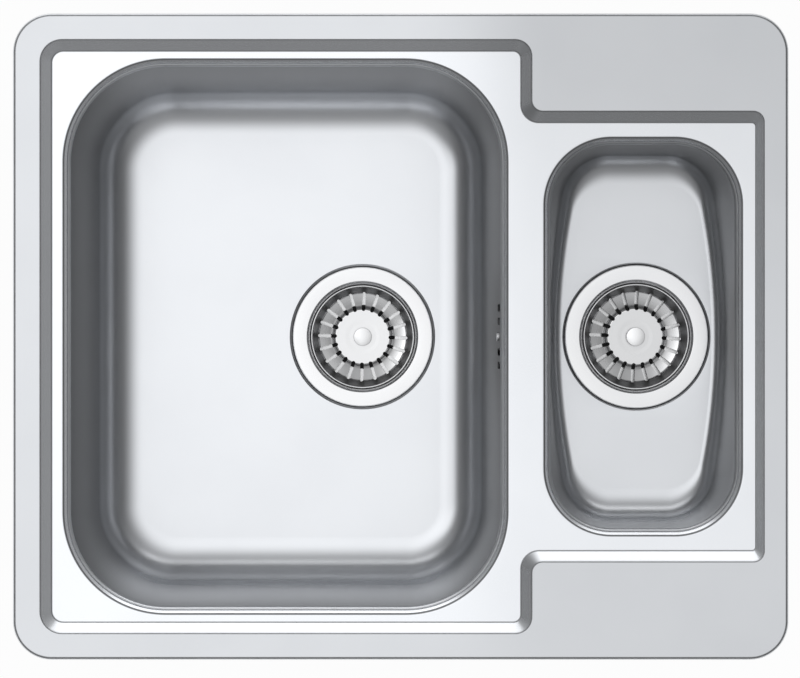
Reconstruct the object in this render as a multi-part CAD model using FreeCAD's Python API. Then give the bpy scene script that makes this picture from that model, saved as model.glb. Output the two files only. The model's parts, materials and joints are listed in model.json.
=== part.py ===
import FreeCAD, Part
import math
import os

# Inset kitchen sink with a large and a small bowl, in millimetres.
# Origin: centre of the sink on the worktop. +X right, +Y rear, +Z up.

Vector = FreeCAD.Vector
Rotation = FreeCAD.Rotation
Placement = FreeCAD.Placement
UP = Vector(0, 0, 1)
ACROSS = Vector(0, 1, 0)
FULL_TURN = 360
QUARTER_TURN = 90

# General
sheet_t = 0.8                # stainless sheet of the deck and both bowls
overrun = 1.0                # how far a cutting tool passes a face
seat_gap = 0.3               # between a moving piece and what it rests on
running_gap = 0.08           # radial, a pin in its hole
assembly_gap = 0.05          # radial, pieces that stay together
turned_chords = 2            # flats that make up each small rounding of a turned piece
level_margin = 0.1           # levels and limits nearer than this count as one
hexagon_sides = 6

# Deck
deck_length = 600.0
deck_width = 500.0
deck_corner_r = 30.0
rim_height = 6.0             # rim's top above the worktop
rim_edge_r = 2.5             # outer radius of the turned-down edge
recess_depth = 6.7           # recess floor below the rim's top
rim_left = 20.7              # flat of the rim, from the edge to the slope
rim_right = 18.8
rim_side = 19.9              # at the front and the rear
slope_run = 8.9              # width of the recess's sloping wall
slope_run_right = 6.2
recess_top_r_left = 17.0     # corners of the slope's upper outline
recess_top_r_step = 13.0
recess_top_r_nook = 8.5
recess_top_r_right = 8.5
recess_foot_r_left = 9.0     # corners of the slope's lower outline
recess_foot_r_step = 6.0
recess_foot_r_nook = 14.0
recess_foot_r_right = 3.0

# Lips of the two openings, with the bowl's flange welded below
lip_r = 4.1                  # outer radius of the turned-down lip
lip_land = 0.3               # straight wall under the lip's curve
ledge = 0.3                  # flat of the bowl's flange that shows inside the lip
throat_r = 1.6               # curve from that flat into the bowl's wall
flange_reach = 5.0           # bowl's flange, outside the lip's face

# Recess floor left around the openings
land_left = 8.2
land_right = 9.5
land_main_side = 5.5
land_small_side = 10.8
land_step = 9.3
divider = 26.8               # between the two lips

# Bowls
main_lip_corner_r = 80.0
main_depth = 160.0           # bowl's floor below the worktop
main_draft = 5.06            # degrees, all walls
main_bottom_r = 35.0
small_length = 155.0         # lip to lip along X
small_width = 310.0          # lip to lip along Y
small_lip_corner_r = 53.0
small_depth = 84.0
small_draft_long = 1.4       # degrees, the long walls at their middle
small_draft_end = 4.6        # degrees, the end walls
small_floor_side_r = 530.0   # the long walls' bow at the floor, seen from above
small_floor_corner_r = 38.0
small_bottom_run_long = 10.0  # width of the curve from wall to floor
small_bottom_run_end = 22.0
small_bottom_rise = 17.0     # height of that curve
small_bottom_bands = 6

# Waste: levels are depths below the bowl's floor, on the waste's own axis
main_waste_inset = 114.9     # from the main bowl's right lip to the waste's axis
waste_ring_r = 56.5          # polished ring on the floor
waste_sheet_t = 0.8
seat_gasket_t = 1.0          # between the ring and the floor's seat
seat_margin = 2.7            # floor's seat, outside the ring
seat_slope = 2.0             # seat's wall in plan
floor_hole_r = 45.0
dish_mouth_r = 42.9
dish_mouth_round = 3.5
dish_base_r = 40.0
dish_depth = 33.0            # plug's seat
dish_base_round = 3.0
well_mouth_r = 20.0
well_base_r = 17.0
well_depth = 5.0             # below the plug's seat
well_round = 1.0
drain_hole_r = 3.6
drain_hole_pitch_r = 11.5
drain_holes = 6
gasket_inner_r = 46.0
gasket_outer_r = 56.0
body_gasket_t = 3.0

# Waste body, moulded
body_flange_r = 57.0
body_wall_t = 2.5
body_inner_r = 44.5
cup_depth = 41.0             # to the inside corner above the cone
cone_depth = 9.0
outlet_r = 23.9              # outside of the threaded outlet
outlet_bore_r = 20.0
outlet_length = 29.0
shoulder_r = 26.5
shoulder_length = 3.5
spider_boss_r = 11.0
spider_rib_t = 2.5
spider_rib_height = 10.0
spider_ribs = 4

# Clamp screw and its brass insert
screw_head_r = 7.5
screw_head_h = 4.0
screw_shank_r = 4.9
screw_shank_length = 22.0    # below the dish
screw_socket_length = 12.0   # blind hole for the strainer's stem
screw_hole_gap = 0.3
insert_r = 8.0
insert_length = 12.0
insert_depth = 7.0           # top of the insert below the dish

# Strainer
cup_sheet_t = 0.7
cup_rim_r = 42.1
cup_rim_drop = 2.2           # below the bowl's floor
cup_rim_hem = 1.1
cup_knee_r = 35.0
cup_knee_drop = 20.0
trough_r = 24.3
trough_drop = 23.6
disc_r = 22.8
disc_drop = 16.0
cup_round = 1.5
cup_slots = 20
slot_width = 2.5
slot_inner_r = 22.4
slot_outer_r = 35.0
slot_end_flat = 0.2          # straight part in the middle of a slot's rounded end
knob_r = 7.4
knob_height = 8.0
knob_neck_r = 4.6
knob_neck_h = 3.0
knob_edge_h = 3.9
knob_bore_depth = 5.0
stem_r = 3.0
stem_length = 33.0
collar_r = 12.0
collar_t = 1.5
collar_drop = 26.5
stem_nut_flats = 10.0
stem_nut_h = 4.0
plug_r = 26.2
plug_edge_t = 3.2
plug_top_r = 14.5
plug_cover_t = 1.5           # rubber over the collar

# Rim seal
seal_inset = 2.8
seal_width = 6.2

# Clips
clip_inset = 26.0            # screw's axis, inwards from the deck's edge
clip_span_share = (0.25, 0.30)   # places along the sides, of the width and the length
worktop_thick = 40.0         # thickest worktop the clips take
claw_slack = 0.5
bracket_t = 1.2
bracket_foot_start = 10.0    # inwards from the deck's edge
bracket_web = 17.5
bracket_end = 34.0
bracket_drop = 22.0          # plate's top below the worktop's top
bracket_half_width = 11.0
clip_screw_r = 2.45
clip_screw_past = 1.0        # screw's end above the bracket's plate
clip_head_flats = 8.0
clip_head_h = 3.5
claw_t = 1.5
claw_half_width = 7.0
claw_heel = 8.0
claw_heel_h = 5.0
claw_flat = 8.0
claw_reach = 24.0
claw_tip_back = 5.0          # tip's bend, back from the claw's end
claw_rise = 8.0
claw_tip_h = 3.5

# Damping pads
pad_t = 2.2
pad_corner_r = 8.0
pad_gap = 8.0                # from the waste's flange
main_pad_length = 85.0
main_pad_width = 220.0
small_pad_length = 70.0
small_pad_width = 44.0

# Overflow
overflow_drop = 18.2         # middle of the slots below the worktop
slot_places = (12.0, 22.4)   # either side of the screw
overflow_slot_w = 5.5
overflow_slot_h = 16.0
overflow_slot_r = 1.2
overflow_screw_r = 2.0
overflow_screw_head_r = 3.5
overflow_screw_head_h = 1.6
overflow_screw_hole_r = 2.4
overflow_gasket_t = 2.0
overflow_gasket_w = 3.5
head_half_width = 32.0
head_up = 11.5               # above the middle of the slots
head_down = 20.0
head_thick = 18.0
head_wall = 2.5
head_corner_r = 6.0
head_boss_r = 5.0
spigot_r = 7.0
spigot_bore_r = 5.5
spigot_length = 20.0
spigot_drop = 32.0           # main waste's side spigot below the floor
spigot_root = 4.0            # bare spigot before the hose
hose_root_r = 8.6
hose_rib_r = 10.0
hose_bore_gap = 0.1
hose_cuff = 20.0
rib_pitch = 8.0
rib_profile_share = (0.0, 0.2, 0.55, 0.75)
hose_clip_t = 1.1
hose_clip_w = 8.0
hose_clip_ear = 4.0
hose_clip_ear_gap = 1.4
hose_clip_inset = 6.0        # from the hose's end to the clip's middle

# Levels worked out from the sizes above
recess_z = rim_height - recess_depth
lip_end_z = recess_z - lip_r - lip_land
slope_angle = math.atan2(recess_depth, slope_run)


def tan_deg(angle):
    """Tangent of an angle in degrees."""
    return math.tan(math.radians(angle))


def line(a, b):
    """Straight edge."""
    return Part.LineSegment(a, b).toShape()


def arc(a, middle, b):
    """Edge of a circle through three points."""
    return Part.Arc(a, middle, b).toShape()


def in_plan(z):
    """Maps a flat point to the horizontal plane at z."""
    return lambda a, b: Vector(a, b, z)


def upright(x, z):
    """Maps (radius, level) to the vertical plane through x, with levels counted from z."""
    return lambda a, b: Vector(x + a, 0, z + b)


def arc_chords(centre, start, end, count):
    """Points along the short arc from start to end, for count chords."""
    first, last = start - centre, end - centre
    whole = first.getAngle(last)
    points = []
    for i in range(count + 1):
        share = i / count
        near = math.sin((1 - share) * whole) / math.sin(whole)
        far = math.sin(share * whole) / math.sin(whole)
        points.append(centre + first * near + last * far)
    return points


def rounded_wire(corners, place, chords=0):
    """Closed wire through (a, b, radius) corners, each rounded by an arc, or by chords of it."""
    starts, middles, ends = [], [], []
    count = len(corners)
    for i, (a, b, r) in enumerate(corners):
        here = Vector(a, b, 0)
        to_last = (Vector(*corners[i - 1][:2], 0) - here).normalize()
        to_next = (Vector(*corners[(i + 1) % count][:2], 0) - here).normalize()
        half = to_last.getAngle(to_next) / 2
        middle_line = to_last + to_next
        if r == 0 or middle_line.Length == 0:
            starts.append(here)
            middles.append(None)
            ends.append(here)
            continue
        back = r / math.tan(half)
        middle_line.normalize()
        starts.append(here + to_last * back)
        ends.append(here + to_next * back)
        centre = here + middle_line * (r / math.sin(half))
        if chords:
            middles.append(arc_chords(centre, starts[-1], ends[-1], chords))
        else:
            middles.append([starts[-1], centre - middle_line * r, ends[-1]])
    edges = []
    for i in range(count):
        if middles[i] is not None:
            points = [place(p.x, p.y) for p in middles[i]]
            rounded = [line(p, q) for p, q in zip(points, points[1:])] if chords else [arc(*points)]
            edges.extend(rounded)
        after = starts[(i + 1) % count]
        edges.append(line(place(ends[i].x, ends[i].y), place(after.x, after.y)))
    return Part.Wire(edges)


def sheet_corners(path, thickness):
    """Closed outline of a sheet: the path of its face, and back along its other face on the left."""
    points = [Vector(a, b, 0) for a, b, r in path]
    runs = [(q - p).normalize() for p, q in zip(points, points[1:])]
    lefts = [Vector(-d.y, d.x, 0) for d in runs]
    back = []
    for i, (point, (a, b, r)) in enumerate(zip(points, path)):
        before = lefts[max(i - 1, 0)]
        after = lefts[min(i, len(lefts) - 1)]
        shift = (before + after) * (thickness / (1 + before.dot(after)))
        if 0 < i < len(points) - 1 and r > 0:
            turn = runs[i - 1].cross(runs[i]).z
            r = max(r + (thickness if turn < 0 else -thickness), 0)
        back.append((a + shift.x, b + shift.y, r))
    return list(path) + back[::-1]


def turned(corners, x, z):
    """Solid of revolution about the vertical axis at x, from (radius, level, rounding) corners."""
    face = Part.Face(rounded_wire(corners, upright(x, z), turned_chords))
    return face.revolve(Vector(x, 0, z), UP, FULL_TURN)


def ring(inner_r, outer_r, low, high, x, z):
    """Plain ring about the vertical axis at x, levels from z."""
    corners = [(inner_r, low, 0), (outer_r, low, 0), (outer_r, high, 0), (inner_r, high, 0)]
    return turned(corners, x, z)


def cylinder(r, height, base, direction=UP):
    """Solid cylinder from its base along a direction."""
    return Part.makeCylinder(r, height, base, direction)


def hexagon(flats, low, high, x, y):
    """Hexagonal prism of a width across flats."""
    corner_r = flats / math.sqrt(3)
    points = []
    for i in range(hexagon_sides + 1):
        turn = math.radians(FULL_TURN * i / hexagon_sides)
        points.append(Vector(x + corner_r * math.cos(turn), y + corner_r * math.sin(turn), low))
    return Part.Face(Part.makePolygon(points)).extrude(Vector(0, 0, high - low))


def brick(x, y, z):
    """Box between two limits on each axis."""
    size = (x[1] - x[0], y[1] - y[0], z[1] - z[0])
    return Part.makeBox(*size, Vector(x[0], y[0], z[0]))


def edges_at(shape, z, outline=None):
    """Edges that lie at one level, and inside an outline's limits if one is given."""
    found = []
    for edge in shape.Edges:
        box = edge.BoundBox
        level = abs(box.ZMin - z) < level_margin and abs(box.ZMax - z) < level_margin
        if level and (outline is None or outline.holds(box)):
            found.append(edge)
    return found


class Outline:
    """Rounded rectangle seen from above. With side_r its two long sides bow outwards."""

    def __init__(self, x_mid, half_x, half_y, corner_r, side_r=0):
        self.x_mid = x_mid
        self.half_x = half_x
        self.half_y = half_y
        self.corner_r = corner_r
        self.side_r = side_r

    def grown(self, by):
        """The same outline moved outwards all round."""
        side_r = self.side_r + by if self.side_r else 0
        return Outline(self.x_mid, self.half_x + by, self.half_y + by, self.corner_r + by, side_r)

    def holds(self, box):
        """Whether a bounding box lies within this outline's limits."""
        reach_x = abs(box.Center.x - self.x_mid) + box.XLength / 2
        reach_y = abs(box.Center.y) + box.YLength / 2
        return reach_x < self.half_x + level_margin and reach_y < self.half_y + level_margin

    def corner(self):
        """Centre of the rear right corner's arc, and the angle where the side meets it."""
        arm_y = self.half_y - self.corner_r
        if not self.side_r:
            return self.half_x - self.corner_r, arm_y, 0
        reach = math.sqrt((self.side_r - self.corner_r) ** 2 - arm_y ** 2)
        return self.half_x - self.side_r + reach, arm_y, math.atan2(arm_y, reach)

    def wire(self, z):
        """Closed wire at a level: a side, a corner and an end, four times round."""
        cx, cy, turn = self.corner()
        r = self.corner_r

        def point(angle, sx, sy):
            return Vector(self.x_mid + sx * (cx + r * math.cos(angle)),
                          sy * (cy + r * math.sin(angle)), z)

        quarter = math.pi / 2
        middle = (turn + quarter) / 2
        edges = []
        for sx, sy in ((1, 1), (-1, -1)):
            low, high = point(turn, sx, -sy), point(turn, sx, sy)
            side_middle = Vector(self.x_mid + sx * self.half_x, 0, z)
            edges.append(arc(low, side_middle, high) if self.side_r else line(low, high))
            edges.append(arc(high, point(middle, sx, sy), point(quarter, sx, sy)))
            edges.append(line(point(quarter, sx, sy), point(quarter, -sx, sy)))
            edges.append(arc(point(quarter, -sx, sy), point(middle, -sx, sy), point(turn, -sx, sy)))
        return Part.Wire(edges)

    def prism(self, low, high):
        """Upright solid of this outline between two levels."""
        return Part.Face(self.wire(low)).extrude(Vector(0, 0, high - low))


def loft(sections):
    """Solid with ruled walls through (outline, level) sections."""
    return Part.makeLoft([outline.wire(z) for outline, z in sections], True, True)


class Bowl:
    """One drawn bowl: its lip's outline, its walls and its waste."""

    def __init__(self, lip, floor_z, wall_outline, waste_x):
        self.lip = lip
        self.opening = lip.grown(-lip_r)
        self.wall_top = self.opening.grown(-ledge - throat_r)
        self.floor_z = floor_z
        self.wall_outline = wall_outline
        self.waste_x = waste_x


deck_outline = Outline(0, deck_length / 2, deck_width / 2, deck_corner_r)
recess_left = -deck_length / 2 + rim_left + slope_run
recess_right = deck_length / 2 - rim_right - slope_run_right
recess_side = deck_width / 2 - rim_side - slope_run

small_right = recess_right - land_right
small_left = small_right - small_length
main_left = recess_left + land_left
main_right = small_left - divider

main_lip = Outline((main_left + main_right) / 2, (main_right - main_left) / 2,
                   recess_side - land_main_side, main_lip_corner_r)
small_lip = Outline((small_left + small_right) / 2, small_length / 2,
                    small_width / 2, small_lip_corner_r)
recess_step = main_right + land_step
recess_nook = small_width / 2 + land_small_side


def main_wall(top, depth_share):
    """Main bowl's outline at a share of its depth."""
    return top.grown(-(main_depth + lip_end_z) * tan_deg(main_draft) * depth_share)


def small_wall(top, depth_share):
    """Small bowl's outline at a share of its depth: straight at the top, bowed at the floor."""
    height = small_depth + lip_end_z
    half_x = top.half_x - height * tan_deg(small_draft_long) * depth_share
    half_y = top.half_y - height * tan_deg(small_draft_end) * depth_share
    corner_r = top.corner_r + (small_floor_corner_r - top.corner_r) * depth_share
    side_r = small_floor_side_r / depth_share if depth_share else 0
    return Outline(top.x_mid, half_x, half_y, corner_r, side_r)


main_bowl = Bowl(main_lip, -main_depth, main_wall, main_right - main_waste_inset)
small_bowl = Bowl(small_lip, -small_depth, small_wall, small_lip.x_mid)


def recess_wire(depth, foot):
    """Upper or lower outline of the recess's sloping wall, on the face that lies a depth inside."""
    out = depth * math.tan(slope_angle / 2)
    slope = 0 if foot else slope_run
    slope_right = 0 if foot else slope_run_right
    if foot:
        left_r, step_r = recess_foot_r_left, recess_foot_r_step
        nook_r, right_r = recess_foot_r_nook, recess_foot_r_right
    else:
        left_r, step_r = recess_top_r_left, recess_top_r_step
        nook_r, right_r = recess_top_r_nook, recess_top_r_right
    left = recess_left - slope - out
    step = recess_step + slope + out
    right = recess_right + slope_right + out
    side = recess_side + slope + out
    nook = recess_nook + slope + out
    half = [(left, side, left_r + out), (step, side, step_r + out),
            (step, nook, nook_r - out), (right, nook, right_r + out)]
    corners = half + [(x, -y, r) for x, y, r in half[::-1]]
    return lambda z: rounded_wire(corners, in_plan(z))


def recess_tool(depth):
    """Space of the recess above the face that lies a depth inside the sheet."""
    top = rim_height - depth
    foot_wire = recess_wire(depth, True)
    top_wire = recess_wire(depth, False)
    sections = [foot_wire(recess_z - depth), top_wire(top), top_wire(top + overrun)]
    return Part.makeLoft(sections, True, True)


def deck_block(depth):
    """Everything under the face that lies a depth inside the sheet, from the rim to the lips."""
    top = rim_height - depth
    block = deck_outline.grown(-depth).prism(lip_end_z - depth, top)
    block = rounded_edges(block, rim_edge_r, depth, edges_at(block, top))
    block = block.cut(recess_tool(depth))
    for bowl in (main_bowl, small_bowl):
        opening = bowl.opening.grown(depth)
        block = block.cut(opening.prism(lip_end_z - overrun, rim_height))
        edges = edges_at(block, recess_z - depth, opening)
        block = rounded_edges(block, lip_r, depth, edges)
    return block


def rounded_edges(block, outer_r, depth, edges):
    """Rounds the face in view. The hidden face is cut flat, tangent to its own curve."""
    if depth == 0:
        return block.makeFillet(outer_r, edges)
    return block.makeChamfer((outer_r - depth) * (2 - math.sqrt(2)), edges)


def make_deck():
    """Pressed deck: rim, turned-down edge, recess and two lips, one sheet."""
    sheet = deck_block(0).cut(deck_block(sheet_t))
    low = lip_end_z - overrun
    skirt = deck_outline.grown(overrun).prism(low, 0)
    skirt = skirt.cut(deck_outline.grown(-sheet_t - overrun).prism(low - overrun, overrun))
    return sheet.cut(skirt)


def main_body(grow):
    """Main bowl's space, or its outside with the sheet added: ruled walls and one bottom radius."""
    top = main_bowl.wall_top
    share = 1 + grow / (main_depth + lip_end_z)
    floor = main_wall(top, share).grown(grow)
    body = loft([(floor, main_bowl.floor_z - grow), (top.grown(grow), lip_end_z)])
    return body.makeFillet(main_bottom_r + grow, edges_at(body, main_bowl.floor_z - grow))


def small_body(grow):
    """Small bowl's space, or its outside: bands follow an elliptic curve from wall to floor."""
    top = small_bowl.wall_top
    height = lip_end_z - small_bowl.floor_z
    sections = [(top.grown(grow), lip_end_z)]
    for band in range(small_bottom_bands + 1):
        turn = math.pi / 2 * band / small_bottom_bands
        level = small_bottom_rise * (1 - math.sin(turn))
        wall = small_wall(top, 1 - level / height)
        inwards = 1 - math.cos(turn)
        corner_r = wall.corner_r - small_bottom_run_long * inwards
        section = Outline(wall.x_mid, wall.half_x - small_bottom_run_long * inwards,
                          wall.half_y - small_bottom_run_end * inwards, corner_r, wall.side_r)
        drop = grow * math.sin(turn)
        spread = grow * math.cos(turn)
        sections.append((section.grown(spread), small_bowl.floor_z + level - drop))
    return loft(sections[::-1])


def throat(outline):
    """Vertical run of a bowl's space up through its flange."""
    return outline.prism(lip_end_z, lip_end_z + overrun)


def seat_cone(bowl, grow):
    """Round seat pressed into the floor for the waste's ring and gasket."""
    depth = waste_sheet_t + seat_gasket_t
    low_r = waste_ring_r + seat_margin - seat_slope + grow
    high_r = waste_ring_r + seat_margin + grow
    base = Vector(bowl.waste_x, 0, bowl.floor_z - depth - grow)
    return Part.makeCone(low_r, high_r, depth, base)


def make_bowl(bowl, body):
    """Drawn bowl: flange, walls, floor with its pressed seat and hole."""
    under = lip_end_z - sheet_t
    shell = bowl.opening.grown(flange_reach).prism(under, lip_end_z).fuse(body(sheet_t))
    outside = bowl.wall_top.grown(sheet_t + throat_r)
    corner = (throat_r - sheet_t) * (2 - math.sqrt(2))
    shell = shell.makeChamfer(corner, edges_at(shell, under, outside))
    shell = shell.fuse(seat_cone(bowl, sheet_t))
    shell = shell.cut(body(0)).cut(throat(bowl.wall_top)).cut(seat_cone(bowl, 0))
    shell = shell.makeFillet(throat_r, edges_at(shell, lip_end_z, bowl.wall_top))
    drop = waste_sheet_t + seat_gasket_t + sheet_t + overrun
    base = Vector(bowl.waste_x, 0, bowl.floor_z - drop)
    return shell.cut(cylinder(floor_hole_r, drop + overrun, base))


def overflow_frame():
    """Frame on the main bowl's right wall: X out through the wall, Y along it, Z up it."""
    inset = (overflow_drop + lip_end_z) * tan_deg(main_draft)
    wall_x = main_bowl.wall_top.x_mid + main_bowl.wall_top.half_x - inset
    return Placement(Vector(wall_x, 0, -overflow_drop), Rotation(ACROSS, main_draft))


def on_wall(shape):
    """Moves a shape from the overflow's own frame to its place on the wall."""
    placed = shape.copy()
    placed.Placement = overflow_frame().multiply(placed.Placement)
    return placed


def wall_plate(half_y, low, high, corner_r, start, end):
    """Rounded plate in the overflow's frame, upright against the wall."""
    corners = [(half_y, high, corner_r), (-half_y, high, corner_r),
               (-half_y, low, corner_r), (half_y, low, corner_r)]
    wire = rounded_wire(corners, lambda a, b: Vector(start, a, b))
    return Part.Face(wire).extrude(Vector(end - start, 0, 0))


def overflow_slots():
    """Cutting tools for the overflow's upright slots and the hole of its screw."""
    half_h = overflow_slot_h / 2
    tools = []
    for side in (-1, 1):
        for place in slot_places:
            tool = wall_plate(overflow_slot_w / 2, -half_h, half_h, overflow_slot_r,
                              -overrun, sheet_t + overrun)
            tool.translate(Vector(0, side * place, 0))
            tools.append(on_wall(tool))
    along = Vector(1, 0, 0)
    start = Vector(-overrun, 0, 0)
    hole = cylinder(overflow_screw_hole_r, sheet_t + 2 * overrun, start, along)
    tools.append(on_wall(hole))
    return tools


def make_main_bowl():
    """Main bowl with its overflow slots."""
    return make_bowl(main_bowl, main_body).cut(Part.makeCompound(overflow_slots()))


def make_small_bowl():
    """Small bowl, without overflow."""
    return make_bowl(small_bowl, small_body)


def make_seal():
    """Foam strip under the rim, all round."""
    top = rim_height - sheet_t
    outer = deck_outline.grown(-seal_inset).prism(0, top)
    return outer.cut(deck_outline.grown(-seal_inset - seal_width).prism(-overrun, top + overrun))


def waste_flange(x, z):
    """Polished ring and dish, drawn in one: plug's seat, well and drain holes."""
    shank_hole_r = screw_shank_r + screw_hole_gap
    well_level = -dish_depth - well_depth
    path = [(waste_ring_r, 0, 0), (dish_mouth_r, 0, dish_mouth_round),
            (dish_base_r, -dish_depth, dish_base_round), (well_mouth_r, -dish_depth, well_round),
            (well_base_r, well_level, well_round), (shank_hole_r, well_level, 0)]
    dish = turned(sheet_corners(path, waste_sheet_t), x, z)
    for i in range(drain_holes):
        turn = 2 * math.pi * i / drain_holes
        base = Vector(x + drain_hole_pitch_r * math.cos(turn), drain_hole_pitch_r * math.sin(turn),
                      z + well_level - waste_sheet_t - overrun)
        dish = dish.cut(cylinder(drain_hole_r, waste_sheet_t + 2 * overrun, base))
    return dish


def flange_gasket(x, z):
    """Flat washer between the ring and the floor's seat."""
    return ring(gasket_inner_r, gasket_outer_r, -waste_sheet_t - seat_gasket_t, -waste_sheet_t, x, z)


body_gasket_top = -waste_sheet_t - seat_gasket_t - sheet_t
body_top = body_gasket_top - body_gasket_t


def body_gasket(x, z):
    """Thick washer between the floor's underside and the waste body."""
    return ring(gasket_inner_r, gasket_outer_r, body_top, body_gasket_top, x, z)


cone_top = -cup_depth
cone_end = cone_top - cone_depth
outlet_end = cone_end - body_wall_t - shoulder_length - outlet_length
shank_start = -dish_depth - well_depth
insert_top = shank_start - insert_depth


def waste_body_shell(x, z):
    """Moulded cup, cone and threaded outlet in one turned wall."""
    flange_low = body_top - body_wall_t
    outer_r = body_inner_r + body_wall_t
    shoulder_top = cone_end - body_wall_t
    shoulder_end = shoulder_top - shoulder_length
    corners = [(body_inner_r, body_top, 0), (body_flange_r, body_top, 0),
               (body_flange_r, flange_low, 0), (outer_r, flange_low, 0),
               (outer_r, cone_top - body_wall_t, 0), (shoulder_r, shoulder_top, 0),
               (shoulder_r, shoulder_end, 0), (outlet_r, shoulder_end, 0),
               (outlet_r, outlet_end, 0), (outlet_bore_r, outlet_end, 0),
               (outlet_bore_r, cone_end, 0), (body_inner_r, cone_top, 0)]
    return turned(corners, x, z)


def spider(x, z):
    """Boss for the brass insert, held in the outlet by ribs."""
    boss_low = insert_top - insert_length
    boss = cylinder(spider_boss_r, insert_length, Vector(x, 0, z + boss_low))
    rib_end = outlet_bore_r + (outlet_r - outlet_bore_r) / 2
    for i in range(spider_ribs):
        rib = brick((0, rib_end), (-spider_rib_t / 2, spider_rib_t / 2),
                    (cone_end - spider_rib_height, cone_end))
        rib.rotate(Vector(0, 0, 0), UP, FULL_TURN * (i / spider_ribs + 1 / spider_ribs / 2))
        rib.translate(Vector(x, 0, z))
        boss = boss.fuse(rib)
    tool_base = Vector(x, 0, z + boss_low - spider_rib_height)
    tool_length = insert_length + 2 * spider_rib_height
    return boss.cut(cylinder(insert_r + assembly_gap, tool_length, tool_base))


def waste_body(x, z, with_spigot):
    """Waste body under a bowl; the main one has a side spigot for the overflow."""
    body = waste_body_shell(x, z).fuse(spider(x, z))
    if with_spigot:
        outer_r = body_inner_r + body_wall_t
        along = Vector(1, 0, 0)
        start = Vector(x + body_inner_r + body_wall_t / 2, 0, z - spigot_drop)
        length = spigot_root + spigot_length + body_wall_t / 2
        body = body.fuse(cylinder(spigot_r, length, start, along))
        bore_start = Vector(x + outer_r - 2 * body_wall_t, 0, z - spigot_drop)
        bore_length = length + 2 * body_wall_t + overrun
        body = body.cut(cylinder(spigot_bore_r, bore_length, bore_start, along))
    return body


def clamp_screw(x, z):
    """Hollow screw that pulls the flange and the body together."""
    head_top = shank_start + screw_head_h
    end = shank_start - screw_shank_length
    socket_r = stem_r + running_gap
    corners = [(0, end, 0), (screw_shank_r, end, 0), (screw_shank_r, shank_start, 0),
               (screw_head_r, shank_start, 0), (screw_head_r, head_top, 0),
               (socket_r, head_top, 0), (socket_r, head_top - screw_socket_length, 0),
               (0, head_top - screw_socket_length, 0)]
    return turned(corners, x, z)


def clamp_insert(x, z):
    """Brass bush in the spider."""
    return ring(screw_shank_r + assembly_gap, insert_r, insert_top - insert_length, insert_top, x, z)


def basket_cup(x, z):
    """Drawn strainer cup: hemmed rim, slotted wall and trough, raised centre."""
    path = [(cup_rim_r, -cup_rim_drop, 0), (cup_rim_r - cup_rim_hem, -cup_rim_drop, 0),
            (cup_knee_r, -cup_knee_drop, cup_round), (trough_r, -trough_drop, cup_sheet_t),
            (disc_r, -disc_drop, cup_round),
            (stem_r + assembly_gap, -disc_drop, 0)]
    cup = turned(sheet_corners(path, cup_sheet_t), x, z)
    low = z - trough_drop - cup_sheet_t - overrun
    height = trough_drop - disc_drop + cup_knee_drop
    half = slot_width / 2
    end_r = half - slot_end_flat / 2
    tools = []
    for i in range(cup_slots):
        corners = [(slot_inner_r, -half, end_r), (slot_outer_r, -half, 0),
                   (slot_outer_r, half, 0), (slot_inner_r, half, end_r)]
        tool = Part.Face(rounded_wire(corners, in_plan(0))).extrude(Vector(0, 0, height))
        tool.rotate(Vector(0, 0, 0), UP, FULL_TURN * i / cup_slots)
        tool.translate(Vector(x, 0, low))
        tools.append(tool)
    return cup.cut(Part.makeCompound(tools))


def basket_knob(x, z):
    """Domed knob on the strainer's raised centre."""
    base = -disc_drop
    top = base + knob_height
    neck_top = base + knob_neck_h
    edge_top = neck_top + knob_edge_h
    dome_r = (knob_r ** 2 + (top - edge_top) ** 2) / (2 * (top - edge_top))
    half_turn = math.asin(knob_r / dome_r) / 2
    dome_middle = (dome_r * math.sin(half_turn), top - dome_r * (1 - math.cos(half_turn)))
    bore_r = stem_r + assembly_gap
    bore_top = base + knob_bore_depth
    place = upright(x, z)
    corners = [(knob_r, edge_top), (knob_r, neck_top), (knob_neck_r, neck_top),
               (knob_neck_r, base), (bore_r, base), (bore_r, bore_top), (0, bore_top), (0, top)]
    points = [place(*corner) for corner in corners]
    edges = [line(p, q) for p, q in zip(points, points[1:])]
    edges.append(arc(points[-1], place(*dome_middle), points[0]))
    return Part.Face(Part.Wire(edges)).revolve(Vector(x, 0, z), UP, FULL_TURN)


def basket_stem(x, z):
    """Stem from the knob through cup and plug into the screw's socket."""
    top = -disc_drop + knob_bore_depth
    collar_low = -collar_drop - collar_t
    corners = [(0, top - stem_length, 0), (stem_r, top - stem_length, 0), (stem_r, collar_low, 0),
               (collar_r, collar_low, 0), (collar_r, -collar_drop, 0), (stem_r, -collar_drop, 0),
               (stem_r, top, 0), (0, top, 0)]
    return turned(corners, x, z)


def basket_nut(x, z):
    """Nut that holds the cup between itself and the knob."""
    top = z - disc_drop - cup_sheet_t
    nut = hexagon(stem_nut_flats, top - stem_nut_h, top, x, 0)
    return nut.cut(cylinder(stem_r + assembly_gap, stem_nut_h + 2 * overrun,
                            Vector(x, 0, top - stem_nut_h - overrun)))


def basket_plug(x, z):
    """Rubber plug moulded round the stem's collar; it closes the well."""
    low = -dish_depth + seat_gap
    bore_r = stem_r + assembly_gap
    groove_top = -collar_drop + assembly_gap
    groove_low = -collar_drop - collar_t - assembly_gap
    groove_r = collar_r + assembly_gap
    top = groove_top + plug_cover_t
    corners = [(bore_r, low, 0), (plug_r, low, 0), (plug_r, low + plug_edge_t, 0),
               (plug_top_r, top, 0), (bore_r, top, 0), (bore_r, groove_top, 0),
               (groove_r, groove_top, 0), (groove_r, groove_low, 0), (bore_r, groove_low, 0)]
    return turned(corners, x, z)


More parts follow.
